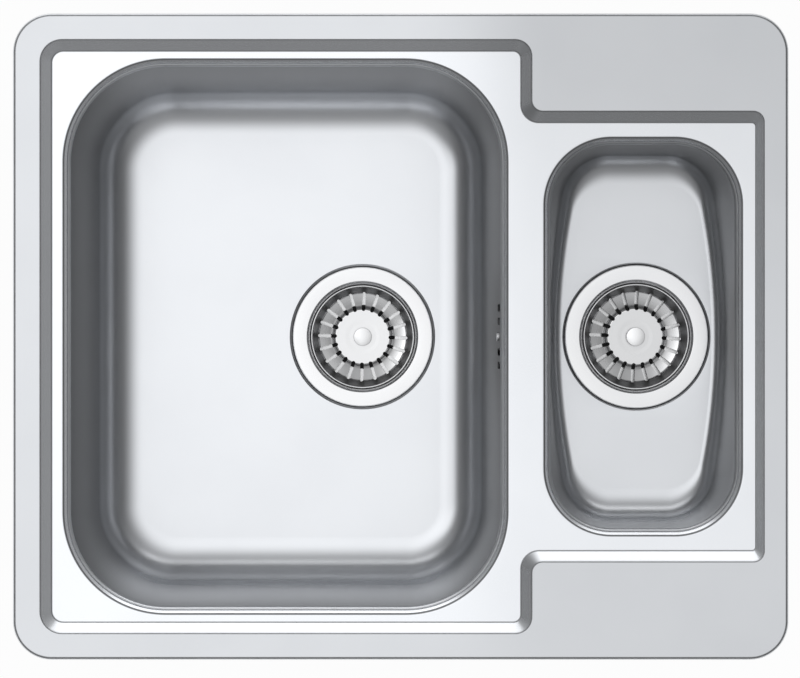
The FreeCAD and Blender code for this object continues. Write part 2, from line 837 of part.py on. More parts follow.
def clip_places():
    """Where the clips stand: the deck's edge point and the turn that points inwards."""
    along_y = clip_span_share[0] * deck_width
    along_x = clip_span_share[1] * deck_length
    places = []
    for sign in (-1, 1):
        places.append((Vector(-deck_length / 2, sign * along_y, 0), 0))
        places.append((Vector(deck_length / 2, sign * along_y, 0), 2 * QUARTER_TURN))
        places.append((Vector(sign * along_x, -deck_width / 2, 0), QUARTER_TURN))
        places.append((Vector(sign * along_x, deck_width / 2, 0), -QUARTER_TURN))
    return places


def at_edge(shape, place):
    """Moves a shape from a clip's own frame, X inwards from the deck's edge, to its place."""
    origin, turn = place
    placed = shape.copy()
    placed.rotate(Vector(0, 0, 0), UP, turn)
    placed.translate(origin)
    return placed


def clip_bracket():
    """Lug welded under the rim: foot, web and a plate tapped for the screw."""
    under = rim_height - sheet_t
    path = [(bracket_foot_start, under, 0), (bracket_web, under, 0),
            (bracket_web, -bracket_drop, 0), (bracket_end, -bracket_drop, 0)]
    corners = sheet_corners(path[::-1], bracket_t)
    wire = rounded_wire(corners, lambda a, b: Vector(a, -bracket_half_width, b))
    strip = Part.Face(wire).extrude(Vector(0, 2 * bracket_half_width, 0))
    hole = cylinder(clip_screw_r + running_gap, bracket_t + 2 * overrun,
                    Vector(clip_inset, 0, -bracket_drop - bracket_t - overrun))
    return strip.cut(hole)


claw_z = -worktop_thick - claw_slack - claw_rise


def clip_screw():
    """Hexagon screw that draws the claw up."""
    head_top = claw_z - claw_t - seat_gap
    top = -bracket_drop + clip_screw_past
    head = hexagon(clip_head_flats, head_top - clip_head_h, head_top, clip_inset, 0)
    return head.fuse(cylinder(clip_screw_r, top - head_top, Vector(clip_inset, 0, head_top)))


def clip_claw():
    """Bent claw, folded along the deck's edge; it swings out under the worktop."""
    knee = claw_reach - claw_tip_back
    tip_z = claw_z + claw_rise
    path = [(-claw_heel, claw_z + claw_heel_h, 0), (-claw_heel, claw_z, 0), (claw_flat, claw_z, 0),
            (knee, tip_z - claw_tip_h, 0), (claw_reach, tip_z, 0)]
    corners = sheet_corners(path[::-1], claw_t)
    wire = rounded_wire(corners, lambda a, b: Vector(-claw_half_width, a, b))
    strip = Part.Face(wire).extrude(Vector(2 * claw_half_width, 0, 0))
    strip = strip.cut(cylinder(clip_screw_r + running_gap, claw_t + 2 * overrun,
                               Vector(0, 0, claw_z - claw_t - overrun)))
    strip.translate(Vector(clip_inset, 0, 0))
    return strip


def pad(x, y, z):
    """Sound-damping pad under a floor, between two limits along X and along Y."""
    middle = (x[0] + x[1]) / 2
    sheet = Outline(middle, (x[1] - x[0]) / 2, (y[1] - y[0]) / 2, pad_corner_r).prism(z - pad_t, z)
    sheet.translate(Vector(0, (y[0] + y[1]) / 2, 0))
    return sheet


def main_pad():
    """Pad left of the main waste."""
    right = main_bowl.waste_x - body_flange_r - pad_gap
    return pad((right - main_pad_length, right), (-main_pad_width / 2, main_pad_width / 2),
               main_bowl.floor_z - sheet_t)


def small_pad():
    """Pad in front of the small waste."""
    rear = -body_flange_r - pad_gap
    x = small_bowl.waste_x
    return pad((x - small_pad_length / 2, x + small_pad_length / 2), (rear - small_pad_width, rear),
               small_bowl.floor_z - sheet_t)


head_start = sheet_t + overflow_gasket_t


def overflow_gasket():
    """Ring between the wall and the overflow head."""
    outer = wall_plate(head_half_width, -head_down, head_up, head_corner_r, sheet_t, head_start)
    w = overflow_gasket_w
    inner = wall_plate(head_half_width - w, -head_down + w, head_up - w, head_corner_r - w,
                       sheet_t - overrun, head_start + overrun)
    return on_wall(outer.cut(inner))


def hose_top():
    """Point on the vertical axis of the overflow's spigot, at the head's underside."""
    frame = overflow_frame()
    return frame.multVec(Vector(head_start + head_thick / 2, 0, -head_down))


def overflow_head():
    """Moulded box behind the slots, with a screw boss and a spigot that points down."""
    w = head_wall
    end = head_start + head_thick
    box = on_wall(wall_plate(head_half_width, -head_down, head_up, head_corner_r, head_start, end))
    top = hose_top()
    length = spigot_root + spigot_length + head_wall
    tube = cylinder(spigot_r, length, top - UP * (length - head_wall))
    hollow = on_wall(wall_plate(head_half_width - w, -head_down + w, head_up - w, head_corner_r - w,
                                head_start - overrun, end - w))
    bore = cylinder(spigot_bore_r, length + w + overrun, top - UP * (length - head_wall + overrun))
    along = Vector(1, 0, 0)
    boss = on_wall(cylinder(head_boss_r, end - w / 2 - sheet_t, Vector(sheet_t, 0, 0), along))
    screw_hole = on_wall(cylinder(overflow_screw_r + assembly_gap, end - w - sheet_t + overrun,
                                  Vector(sheet_t - overrun, 0, 0), along))
    return box.fuse(tube).cut(hollow).cut(bore).fuse(boss).cut(screw_hole)


def overflow_screw():
    """Screw through the wall into the head's boss."""
    head = cylinder(overflow_screw_head_r, overflow_screw_head_h,
                    Vector(-overflow_screw_head_h, 0, 0), Vector(1, 0, 0))
    length = head_start + head_thick - head_wall - overrun
    shank = cylinder(overflow_screw_r, length, Vector(0, 0, 0), Vector(1, 0, 0))
    return on_wall(head.fuse(shank))


class HoseRoute:
    """Overflow hose: down from the head, one bend, and back to the main waste's spigot."""

    def __init__(self):
        top = hose_top()
        self.start = Vector(top.x, 0, top.z - spigot_root)
        self.end_x = main_bowl.waste_x + body_inner_r + body_wall_t + spigot_root
        self.end_z = main_bowl.floor_z - spigot_drop
        self.bend_r = self.start.x - self.end_x - hose_cuff
        self.drop = self.start.z - self.end_z - self.bend_r
        self.bend = self.bend_r * math.pi / 2
        self.length = self.drop + self.bend + hose_cuff

    def circle(self, along, r):
        """Wire of a circle across the hose, at a distance from its top end."""
        turn = min(max((along - self.drop) / self.bend_r, 0), math.pi / 2)
        before = min(along, self.drop)
        after = max(along - self.drop - self.bend, 0)
        x = self.start.x - self.bend_r * (1 - math.cos(turn)) - after
        z = self.start.z - before - self.bend_r * math.sin(turn)
        wire = Part.Wire(Part.makeCircle(r))
        lean = Rotation(ACROSS, 2 * QUARTER_TURN + math.degrees(turn))
        wire.Placement = Placement(Vector(x, 0, z), lean)
        return wire

    def path(self):
        """Centre line as an open wire."""
        x, z = self.start.x, self.start.z
        bend_top = Vector(x, 0, z - self.drop)
        bend_end = Vector(x - self.bend_r, 0, self.end_z)
        lean = self.bend_r * (1 - math.sqrt(2) / 2)
        bend_middle = Vector(x - lean, 0, self.end_z + lean)
        edges = [line(self.start, bend_top), arc(bend_top, bend_middle, bend_end),
                 line(bend_end, Vector(self.end_x, 0, self.end_z))]
        return Part.Wire(edges)


def overflow_hose():
    """Ribbed hose with its bore and plain cuffs."""
    route = HoseRoute()
    ribbed = route.length - 2 * hose_cuff
    ribs = max(int(ribbed / rib_pitch), 1)
    pitch = ribbed / ribs
    radii = (hose_root_r, hose_rib_r, hose_rib_r, hose_root_r)
    wires = [route.circle(0, hose_root_r)]
    for i in range(ribs):
        for share, r in zip(rib_profile_share, radii):
            wires.append(route.circle(hose_cuff + (i + share) * pitch, r))
    wires.append(route.circle(route.length - hose_cuff, hose_root_r))
    wires.append(route.circle(route.length, hose_root_r))
    outside = Part.makeLoft(wires, True, True)
    bore = route.path().makePipeShell([route.circle(0, spigot_r + hose_bore_gap)], True, False)
    print("overflow hose: bend radius", round(route.bend_r, 1), "length", round(route.length, 1),
          "ribs", ribs)
    return outside.cut(bore)


def hose_clip():
    """Spring band with two ears, on the vertical axis, its middle at the origin."""
    inner_r = hose_root_r + assembly_gap
    outer_r = inner_r + hose_clip_t
    half = hose_clip_w / 2
    band = ring(inner_r, outer_r, -half, half, 0, 0)
    ear_gap = hose_clip_ear_gap / 2
    for side in (-1, 1):
        ear = brick((outer_r - hose_clip_t / 2, outer_r + hose_clip_ear),
                    sorted((side * ear_gap, side * (ear_gap + hose_clip_t))), (-half, half))
        band = band.fuse(ear)
    slit = brick((0, outer_r + hose_clip_ear), (-ear_gap, ear_gap), (-half - overrun, half + overrun))
    return band.cut(slit)


def hose_clip_top():
    """Clip on the hose's upper cuff, ears towards the small bowl."""
    route = HoseRoute()
    band = hose_clip()
    band.translate(route.start - UP * hose_clip_inset)
    return band


def hose_clip_low():
    """Clip on the hose's lower cuff, ears down."""
    route = HoseRoute()
    band = hose_clip()
    band.rotate(Vector(0, 0, 0), ACROSS, QUARTER_TURN)
    band.translate(Vector(route.end_x + hose_clip_inset, 0, route.end_z))
    return band


def sink_nodes():
    """Deck, bowls and what is fixed to them."""
    brackets = [at_edge(clip_bracket(), place) for place in clip_places()]
    return {
        "deck": make_deck(),
        "main_bowl": make_main_bowl(),
        "small_bowl": make_small_bowl(),
        "rim_seal": make_seal(),
        "clip_brackets": Part.makeCompound(brackets),
        "main_damping_pad": main_pad(),
        "small_damping_pad": small_pad(),
    }


def waste_nodes(name, bowl, with_spigot):
    """Waste of one bowl with its strainer."""
    at = (bowl.waste_x, bowl.floor_z)
    return {
        name + "_waste_flange": waste_flange(*at),
        name + "_flange_gasket": flange_gasket(*at),
        name + "_body_gasket": body_gasket(*at),
        name + "_waste_body": waste_body(*at, with_spigot),
        name + "_clamp_screw": clamp_screw(*at),
        name + "_clamp_insert": clamp_insert(*at),
        name + "_basket_cup": basket_cup(*at),
        name + "_basket_knob": basket_knob(*at),
        name + "_basket_stem": basket_stem(*at),
        name + "_basket_nut": basket_nut(*at),
        name + "_basket_plug": basket_plug(*at),
    }


def clip_nodes():
    """Screw and claw of each clip."""
    nodes = {}
    for number, place in enumerate(clip_places(), 1):
        nodes["clip_" + str(number) + "_screw"] = at_edge(clip_screw(), place)
        nodes["clip_" + str(number) + "_claw"] = at_edge(clip_claw(), place)
    return nodes


def overflow_nodes():
    """Overflow from the main bowl's wall to its waste."""
    return {
        "overflow_gasket": overflow_gasket(),
        "overflow_head": overflow_head(),
        "overflow_screw": overflow_screw(),
        "overflow_hose": overflow_hose(),
        "hose_clip_top": hose_clip_top(),
        "hose_clip_low": hose_clip_low(),
    }


def main():
    """Builds every piece and writes one file for each."""
    nodes = sink_nodes()
    nodes.update(waste_nodes("main", main_bowl, True))
    nodes.update(waste_nodes("small", small_bowl, False))
    nodes.update(clip_nodes())
    nodes.update(overflow_nodes())
    os.makedirs("parts", exist_ok=True)
    for name, shape in nodes.items():
        print(name, "solids", len(shape.Solids), "valid", shape.isValid(), "volume", round(shape.Volume))
        shape.exportStep("parts/" + name + ".step")


main()
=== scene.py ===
"""Kitchen sink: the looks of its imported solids. Sizes are millimetres until a mesh is made."""

import json
import logging
import math
from dataclasses import dataclass
from enum import Enum

import bmesh
import bpy
import numpy as np
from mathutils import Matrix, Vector
from mathutils.geometry import tessellate_polygon


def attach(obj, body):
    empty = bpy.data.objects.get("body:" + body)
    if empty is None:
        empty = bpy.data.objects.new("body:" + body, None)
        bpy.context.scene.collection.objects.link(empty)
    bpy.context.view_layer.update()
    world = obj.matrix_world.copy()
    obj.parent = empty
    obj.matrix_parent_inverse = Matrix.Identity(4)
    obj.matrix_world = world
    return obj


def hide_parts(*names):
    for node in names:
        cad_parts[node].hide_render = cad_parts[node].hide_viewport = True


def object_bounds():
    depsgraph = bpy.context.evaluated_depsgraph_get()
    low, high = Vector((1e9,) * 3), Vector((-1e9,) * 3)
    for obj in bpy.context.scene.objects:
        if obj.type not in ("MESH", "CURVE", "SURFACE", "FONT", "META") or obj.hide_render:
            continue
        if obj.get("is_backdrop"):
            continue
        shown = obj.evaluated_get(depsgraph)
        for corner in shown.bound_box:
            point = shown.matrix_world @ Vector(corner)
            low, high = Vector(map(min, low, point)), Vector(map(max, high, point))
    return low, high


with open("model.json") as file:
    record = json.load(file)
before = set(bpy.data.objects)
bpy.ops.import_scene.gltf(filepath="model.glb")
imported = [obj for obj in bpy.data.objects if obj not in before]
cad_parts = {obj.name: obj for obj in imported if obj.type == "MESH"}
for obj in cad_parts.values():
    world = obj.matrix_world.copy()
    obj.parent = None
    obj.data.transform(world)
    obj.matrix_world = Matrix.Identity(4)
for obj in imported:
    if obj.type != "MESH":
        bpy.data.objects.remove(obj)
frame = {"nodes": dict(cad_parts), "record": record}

MM = 0.001
FULL_TURN = 2 * math.pi
QUARTER_TURN = math.pi / 2
STRAIGHT = 1e6   # radius of a side that has no bow
HOLD = 0.3       # flat kept beside a rounding, so that its shading stays there
SHARP_ANGLE = math.radians(34)
WELD = 2e-6      # metres
SHADE = "shade"  # name of the face corners' painted shade, see Shading
TINY = 1e-6      # keeps a quotient finite

Array = np.ndarray
Socket = bpy.types.NodeSocket
Pair = tuple[float, float]
Triple = tuple[float, float, float]
Corner = Triple  # of a profile: place or radius, level, rounding
Four = tuple[float, float, float, float]

log = logging.getLogger("sink")


# Surfaces


@dataclass
class Surface:
    """Corner points in millimetres, and the faces that list them."""

    points: Array
    quads: Array
    triangles: Array


def joined(parts: list[Surface]) -> Surface:
    """Several surfaces as one.

    Args:
        parts: surfaces whose shared edges have the same points.

    Returns:
        One surface; each part's faces are counted on from the parts before it.
    """
    starts = np.cumsum([0] + [len(p.points) for p in parts[:-1]])
    return Surface(
        np.concatenate([p.points for p in parts]),
        np.concatenate([p.quads + s for p, s in zip(parts, starts)]),
        np.concatenate([p.triangles + s for p, s in zip(parts, starts)]),
    )


def grid(rows: Array, leave_out: tuple[int, ...] = ()) -> Surface:
    """Quads between neighbouring rows and columns of points. The last column joins the first.

    Args:
        rows: points, rows by columns by 3.
        leave_out: columns whose quads are left open.

    Returns:
        The surface; quad (i, j) has corners (i, j), (i, j+1), (i+1, j+1), (i+1, j).
    """
    count, width = rows.shape[:2]
    columns = np.setdiff1d(np.arange(width), leave_out)
    i, j = np.meshgrid(np.arange(count - 1), columns, indexing="ij")
    after = (j + 1) % width
    quads = np.stack([i * width + j, i * width + after,
                      (i + 1) * width + after, (i + 1) * width + j], -1)
    return Surface(rows.reshape(-1, 3), quads.reshape(-1, 4), np.zeros((0, 3), int))


def flat(loops: list[Array]) -> Surface:
    """Plane face with holes.

    Args:
        loops: the outer loop of points, then each hole's.

    Returns:
        The face as triangles between the loops' own points.
    """
    found = tessellate_polygon([[Vector(p) for p in loop] for loop in loops])
    return Surface(np.concatenate(loops), np.zeros((0, 4), int), np.array(found, int))


def unit(vectors: Array) -> Array:
    """Vectors divided by their lengths."""
    return vectors / np.linalg.norm(vectors, axis=-1, keepdims=True)


def corner_arc(before: Array, here: Array, after: Array,
               radius: Array, steps: int) -> Array:
    """Arcs that round corners.

    Half the corner's angle gives the run back along each side, radius / tan(half), and the
    arc's centre on the middle line, radius / sin(half) away. Points between the arc's two ends
    mix them by sin((1 - s) w) / sin(w) and sin(s w) / sin(w), where w is the arc's whole angle.

    Args:
        before: points that the corners come from, any shape by 2.
        here: the corners.
        after: points that they go to.
        radius: one for each corner.
        steps: chords in each arc.

    Returns:
        Points with one more axis, steps + 1 long.
    """
    to_last, to_next = unit(before - here), unit(after - here)
    half = np.arccos(np.clip((to_last * to_next).sum(-1), -1, 1)) / 2
    back = (radius / np.tan(half))[..., None]
    centre = here + unit(to_last + to_next) * (radius / np.sin(half))[..., None]
    first, last = here + to_last * back - centre, here + to_next * back - centre
    whole = (math.pi - 2 * half)[..., None]
    share = np.linspace(0, 1, steps + 1)
    near = (np.sin((1 - share) * whole) / np.sin(whole))[..., None]
    far = (np.sin(share * whole) / np.sin(whole))[..., None]
    return centre[..., None, :] + near * first[..., None, :] + far * last[..., None, :]


def rounded_line(corners: list[Corner], steps: int) -> Array:
    """Open line through (a, b, radius) corners, each rounded by corner_arc.

    Args:
        corners: the ends have radius 0.
        steps: chords in each arc.

    Returns:
        Points by 2.
    """
    table = np.array(corners, float)
    ends = table[:, :2]
    arcs = corner_arc(ends[:-2], ends[1:-1], ends[2:], table[1:-1, 2], steps).reshape(-1, 2)
    return np.concatenate([ends[:1], arcs, ends[-1:]])


def rounded_loops(corners: Array, radii: Array, levels: Array,
                  steps: int) -> Array:
    """Closed rounded polygons, one a row.

    Args:
        corners: rows by corners by 2.
        radii: rows by corners.
        levels: height of each row.
        steps: chords in each corner's arc.

    Returns:
        Rows by points by 3.
    """
    before, after = np.roll(corners, 1, axis=1), np.roll(corners, -1, axis=1)
    flat_points = corner_arc(before, corners, after, radii, steps)
    flat_points = flat_points.reshape(len(corners), -1, 2)
    heights = np.broadcast_to(np.asarray(levels)[:, None, None], flat_points.shape[:2] + (1,))
    return np.concatenate([flat_points, heights], -1)


def around(x: float, y: float, radius: Array | float, angle: Array,
           level: Array | float) -> Array:
    """Points (x + r cos a, y + r sin a, level) round an upright axis.

    Args:
        x: the axis's place.
        y: the same, along Y.
        radius: r, any shape that goes with the angle's.
        angle: a.
        level: height of the points.

    Returns:
        Points with one more axis, 3 long.
    """
    return np.stack(np.broadcast_arrays(x + radius * np.cos(angle), y + radius * np.sin(angle),
                                        level), -1)


def full_turn(steps: int) -> Array:
    """Angles all the way round, without the last one, which is the first again."""
    return np.linspace(0, FULL_TURN, steps, endpoint=False)


def circle(x: float, y: float, z: float, radius: float, steps: int) -> Array:
    """Points round a level circle."""
    return around(x, y, radius, full_turn(steps), z)


def revolved(profile: Array, x: float, z: float, steps: int) -> Array:
    """Rows of points of a turned shape: each (radius, level) goes round the upright axis.

    Args:
        profile: (radius, level) by rows.
        x: the axis's place.
        z: where levels are counted from.
        steps: points round.

    Returns:
        Rows by steps by 3.
    """
    return around(x, 0.0, profile[:, :1], full_turn(steps), profile[:, 1:2] + z)


@dataclass(frozen=True)
class Thread:
    """Thread round an upright axis."""

    root_r: float
    crest_r: float
    pitch: float
    low: float
    high: float
    steps_round: int = 24
    steps_pitch: int = 8

    def rows(self, x: float, y: float) -> Array:
        """Rows of points up the thread.

        At height h and angle a the radius is root + (crest - root) w, where w is
        1 - |2 f - 1|, f is what h / pitch - a / full turn has after its whole number, and w fades
        to 0 over the last pitch at either end.

        Args:
            x: the axis's place.
            y: the same, along Y.

        Returns:
            Rows by points by 3.
        """
        count = round((self.high - self.low) / self.pitch * self.steps_pitch) + 1
        height = np.linspace(self.low, self.high, count)[:, None]
        angle = full_turn(self.steps_round)
        wave = 1 - np.abs(2 * np.mod(height / self.pitch - angle / FULL_TURN, 1.0) - 1)
        ends = np.minimum(height - self.low, self.high - height) / self.pitch
        radius = self.root_r + (self.crest_r - self.root_r) * wave * np.clip(ends, 0, 1)
        return around(x, y, radius, angle, height)


@dataclass(frozen=True)
class Outline:
    """Rounded rectangle seen from above. Sizes may be arrays, one entry for each level."""

    x_mid: float
    half_x: float | Array
    half_y: float | Array
    corner_r: float | Array
    side_r: float | Array = STRAIGHT

    def grown(self, by: float | Array) -> "Outline":
        """The same outline moved outwards all round."""
        return Outline(self.x_mid, self.half_x + by, self.half_y + by,
                       self.corner_r + by, self.side_r + by)

    def rows(self, levels: list[float] | Array, corner_steps: int = 24,
             side_steps: int = 1) -> Array:
        """Points of the outline at each level.

        The right side is an arc of side_r about (half_x - side_r, 0). The corner's arc touches
        it from inside and touches the straight end. Mirrored in X and turned half round, they
        give the whole loop.

        Args:
            levels: height of each row.
            corner_steps: chords in each corner.
            side_steps: chords in each long side.

        Returns:
            Rows by points by 3. The last column and the first are the right side's two ends
            where side_steps is 1.
        """
        z = np.asarray(levels, float)[:, None]
        sizes = (self.half_x, self.half_y, self.corner_r, self.side_r)
        half_x, half_y, corner_r, side_r = (
            np.broadcast_to(np.asarray(v, float), z.shape[:1])[:, None] for v in sizes)
        arm = half_y - corner_r
        reach = np.sqrt((side_r - corner_r) ** 2 - arm ** 2)
        turn = np.arctan2(arm, reach)
        angle = turn * np.linspace(-1, 1, side_steps + 1)[1:-1]
        side = np.stack([half_x - side_r + side_r * np.cos(angle), side_r * np.sin(angle)], -1)
        angle = turn + (QUARTER_TURN - turn) * np.linspace(0, 1, corner_steps + 1)
        corner = np.stack([half_x - side_r + reach + corner_r * np.cos(angle),
                           arm + corner_r * np.sin(angle)], -1)
        half = np.concatenate([side, corner, corner[:, ::-1] * np.array([-1.0, 1.0])], 1)
        loop = np.concatenate([half, -half], 1)
        level = np.broadcast_to(z[..., None], loop.shape[:2] + (1,))
        return np.concatenate([loop + np.array([self.x_mid, 0.0]), level], -1)


def smooth(value: Array, low: float, high: float) -> Array:
    """0 up to low, 1 from high on, and 3 t^2 - 2 t^3 between, where t is the share of the way."""
    share = np.clip((value - low) / (high - low), 0, 1)
    return share * share * (3 - 2 * share)


SIDEWAYS = (0.3, 0.9)         # sine from the front or rear: where a face starts to face a side
LEVEL_UP_TO = (0.004, 0.015)  # steepness where a level face starts and has ended
LEVEL_SLACK = 0.01            # a point this little below a level still counts as on it


@dataclass(frozen=True)
class Shading:
    """Painted shade: how much darker drawn steel is made on its walls, bends and cut edges than on
    its flats.

    Steepness is 1 less the upright part of the normal: 0 on a level face and 1 on a wall.
    """

    walls: Triple = (0.0, 0.0, 0.0)       # painted shade on walls that face front, rear, and a side
    wall_from: Pair = (0.55, 0.85)
    slopes: Triple = (0.0, 0.0, 0.0)      # the same on gentle slopes
    slope_from: Pair = (0.02, 0.04)
    low_shares: Triple = (1.0, 1.0, 1.0)  # of walls' painted shade, left at deep_from's end; below 0 it paints light
    bends: Pair = (0.0, 0.0)              # painted shade in the bends beside a flat, above the recess's floor and below
    bend_from: Four = (0.004, 0.015, 0.15, 0.19)
    bend_above: float = -3.0              # only on bends above this level
    level: float = 0.0                    # painted shade on level faces
    deep: float = 0.0                     # painted shade on faces below a level
    deep_from: Pair = (0.0, -1.0)
    cut: float = 0.85                     # painted shade on the edges cut through the sheet

    def of(self, points: Array, normals: Array, cut: Array) -> Array:
        """Share of the light that is lost at each face corner.

        What is left after walls, slopes, bends, level faces and depth is the product of 1 less
        each one's share.

        Args:
            points: places in millimetres.
            normals: the corners' normals.
            cut: whether each corner is on a cut edge.

        Returns:
            One number for each corner, 1 where all light is lost, and less than 0 where there is
            more light than on a flat.
        """
        steep = 1 - np.abs(normals[:, 2])
        deep = smooth(-points[:, 2], -self.deep_from[0], -self.deep_from[1])
        wall = self._facing(self.walls, normals)
        wall = wall * (1 - deep * (1 - self._facing(self.low_shares, normals)))
        wall = wall * smooth(steep, *self.wall_from)
        slope = self._facing(self.slopes, normals) * smooth(steep, *self.slope_from)
        slope = slope * (1 - smooth(steep, *self.wall_from))
        start, full, fade, gone = self.bend_from
        bent = smooth(steep, start, full) * (1 - smooth(steep, fade, gone))
        bent = bent * (points[:, 2] > self.bend_above) * np.where(
            points[:, 2] > PLAN.recess_z - LEVEL_SLACK, *self.bends)
        even = self.level * (1 - smooth(steep, *LEVEL_UP_TO))
        left = (1 - wall) * (1 - slope) * (1 - bent) * (1 - even) * (1 - self.deep * deep)
        return np.where(cut, self.cut, 1 - left)

    @staticmethod
    def _facing(shades: Triple, normals: Array) -> Array:
        """The shade for faces that face front, rear or a side, mixed by where they face.

        Args:
            shades: those of faces to the front, to the rear and to a side.
            normals: the corners' normals.

        Returns:
            A shade for each corner.
        """
        to_front, to_rear, to_side = shades
        level = np.maximum(np.hypot(normals[:, 0], normals[:, 1]), TINY)
        near, due = SIDEWAYS
        mixed = to_front + (to_rear - to_front) * smooth(normals[:, 1] / level, -near, near)
        return mixed + (to_side - mixed) * smooth(np.abs(normals[:, 0]) / level, near, due)


# Shader recipes


class Recipe:
    """Node tree of one finish, or of the world."""

    def __init__(self, tree: bpy.types.NodeTree) -> None:
        """Empties the tree."""
        self.tree = tree
        tree.nodes.clear()

    def node(self, kind: str, settings: dict | None = None,
             inputs: dict | None = None) -> bpy.types.Node:
        """Adds a node.

        Args:
            kind: the node's type.
            settings: its own properties, set first.
            inputs: sockets by name or number, each with a number, a colour or a link.

        Returns:
            The node.
        """
        made = self.tree.nodes.new(kind)
        for name, value in (settings or {}).items():
            setattr(made, name, value)
        for name, value in (inputs or {}).items():
            self._feed(made.inputs[name], value)
        return made

    def value(self, node: bpy.types.Node, output: str | int = 0) -> "Value":
        """One of a node's outputs as a value to calculate with."""
        return Value(self, node.outputs[output])

    def _feed(self, socket: Socket, value: object) -> None:
        """Links a socket to a value or an output, or sets its number.

        Args:
            socket: the input.
            value: what it gets.
        """
        if isinstance(value, Value):
            self.tree.links.new(value.socket, socket)
        elif isinstance(value, Socket):
            self.tree.links.new(value, socket)
        else:
            socket.default_value = value


class Value:
    """A number that varies over a surface. Sums and products of values add Math nodes."""

    def __init__(self, recipe: Recipe, socket: Socket) -> None:
        """Wraps a node's output."""
        self.recipe = recipe
        self.socket = socket

    def _maths(self, operation: str, *terms: "Value | float") -> "Value":
        """One Math node on the terms."""
        return self.recipe.value(self.recipe.node(
            "ShaderNodeMath", {"operation": operation}, dict(enumerate(terms))))

    def __add__(self, other: "Value | float") -> "Value":
        """Sum."""
        return self._maths("ADD", self, other)

    def __mul__(self, other: "Value | float") -> "Value":
        """Product."""
        return self._maths("MULTIPLY", self, other)

    def __sub__(self, other: "Value | float") -> "Value":
        """Difference."""
        return self._maths("SUBTRACT", self, other)

    def __rsub__(self, other: float) -> "Value":
        """Difference from a number."""
        return self._maths("SUBTRACT", other, self)

    def __truediv__(self, other: "Value | float") -> "Value":
        """Quotient."""
        return self._maths("DIVIDE", self, other)

    def __pow__(self, other: float) -> "Value":
        """Power."""
        return self._maths("POWER", self, other)

    __radd__, __rmul__ = __add__, __mul__

    def arccos(self) -> "Value":
        """Angle whose cosine this is, in radians."""
        return self._maths("ARCCOSINE", self)

    def step(self, low: float, high: float) -> "Value":
        """0 below low, 1 above high, and smooth between; low may be the higher of the two.

        Args:
            low: number up to which it is 0.
            high: number from which it is 1.

        Returns:
            The step.
        """
        reverse = low > high
        made = self.recipe.node("ShaderNodeMapRange", {"interpolation_type": "SMOOTHSTEP"}, {
            "Value": self, "From Min": min(low, high), "From Max": max(low, high),
            "To Min": float(reverse), "To Max": float(not reverse)})
        return self.recipe.value(made)

    def band(self, limits: Four) -> "Value":
        """1 between the two middle limits, 0 outside the outer two, and smooth between."""
        start, full, fade, gone = limits
        return self.step(start, full) * self.step(gone, fade)


def object_place(recipe: Recipe) -> Socket:
    """Object coordinates, in metres."""
    return recipe.node("ShaderNodeTexCoord").outputs["Object"]


def stretched(recipe: Recipe, scale: Triple) -> Socket:
    """Object coordinates multiplied along each axis."""
    return recipe.node("ShaderNodeMapping", None, {
        "Vector": object_place(recipe), "Scale": scale}).outputs["Vector"]


def noise(recipe: Recipe, place: Socket, scale: float,
          detail: float = 2.0, roughness: float = 0.5) -> Value:
    """Soft noise from 0 to 1, in repeats a metre."""
    return recipe.value(recipe.node("ShaderNodeTexNoise", None, {
        "Vector": place, "Scale": scale, "Detail": detail, "Roughness": roughness}))


def blend(recipe: Recipe, share: Value, first: tuple, second: tuple) -> Socket:
    """Colour between two colours."""
    return recipe.node("ShaderNodeMix", {"data_type": "RGBA"}, {
        0: share, 6: (*first, 1.0), 7: (*second, 1.0)}).outputs[2]


def new_material(name: str) -> tuple[bpy.types.Material, Recipe]:
    """A material and its empty node tree.

    Args:
        name: the material's name.

    Returns:
        The two.
    """
    material = bpy.data.materials.new(name)
    material.use_nodes = True
    return material, Recipe(material.node_tree)


class Finish:
    """What every finish can do."""

    def sockets(self, recipe: Recipe) -> dict:
        """Values and links of the Principled shader's sockets."""
        raise NotImplementedError

    def material(self, name: str) -> bpy.types.Material:
        """Makes a material whose Principled shader gets this finish's sockets.

        Args:
            name: the material's name.

        Returns:
            The material.
        """
        material, recipe = new_material(name)
        shader = recipe.node("ShaderNodeBsdfPrincipled", None, self.sockets(recipe))
        recipe.node("ShaderNodeOutputMaterial", None, {"Surface": shader.outputs[0]})
        return material


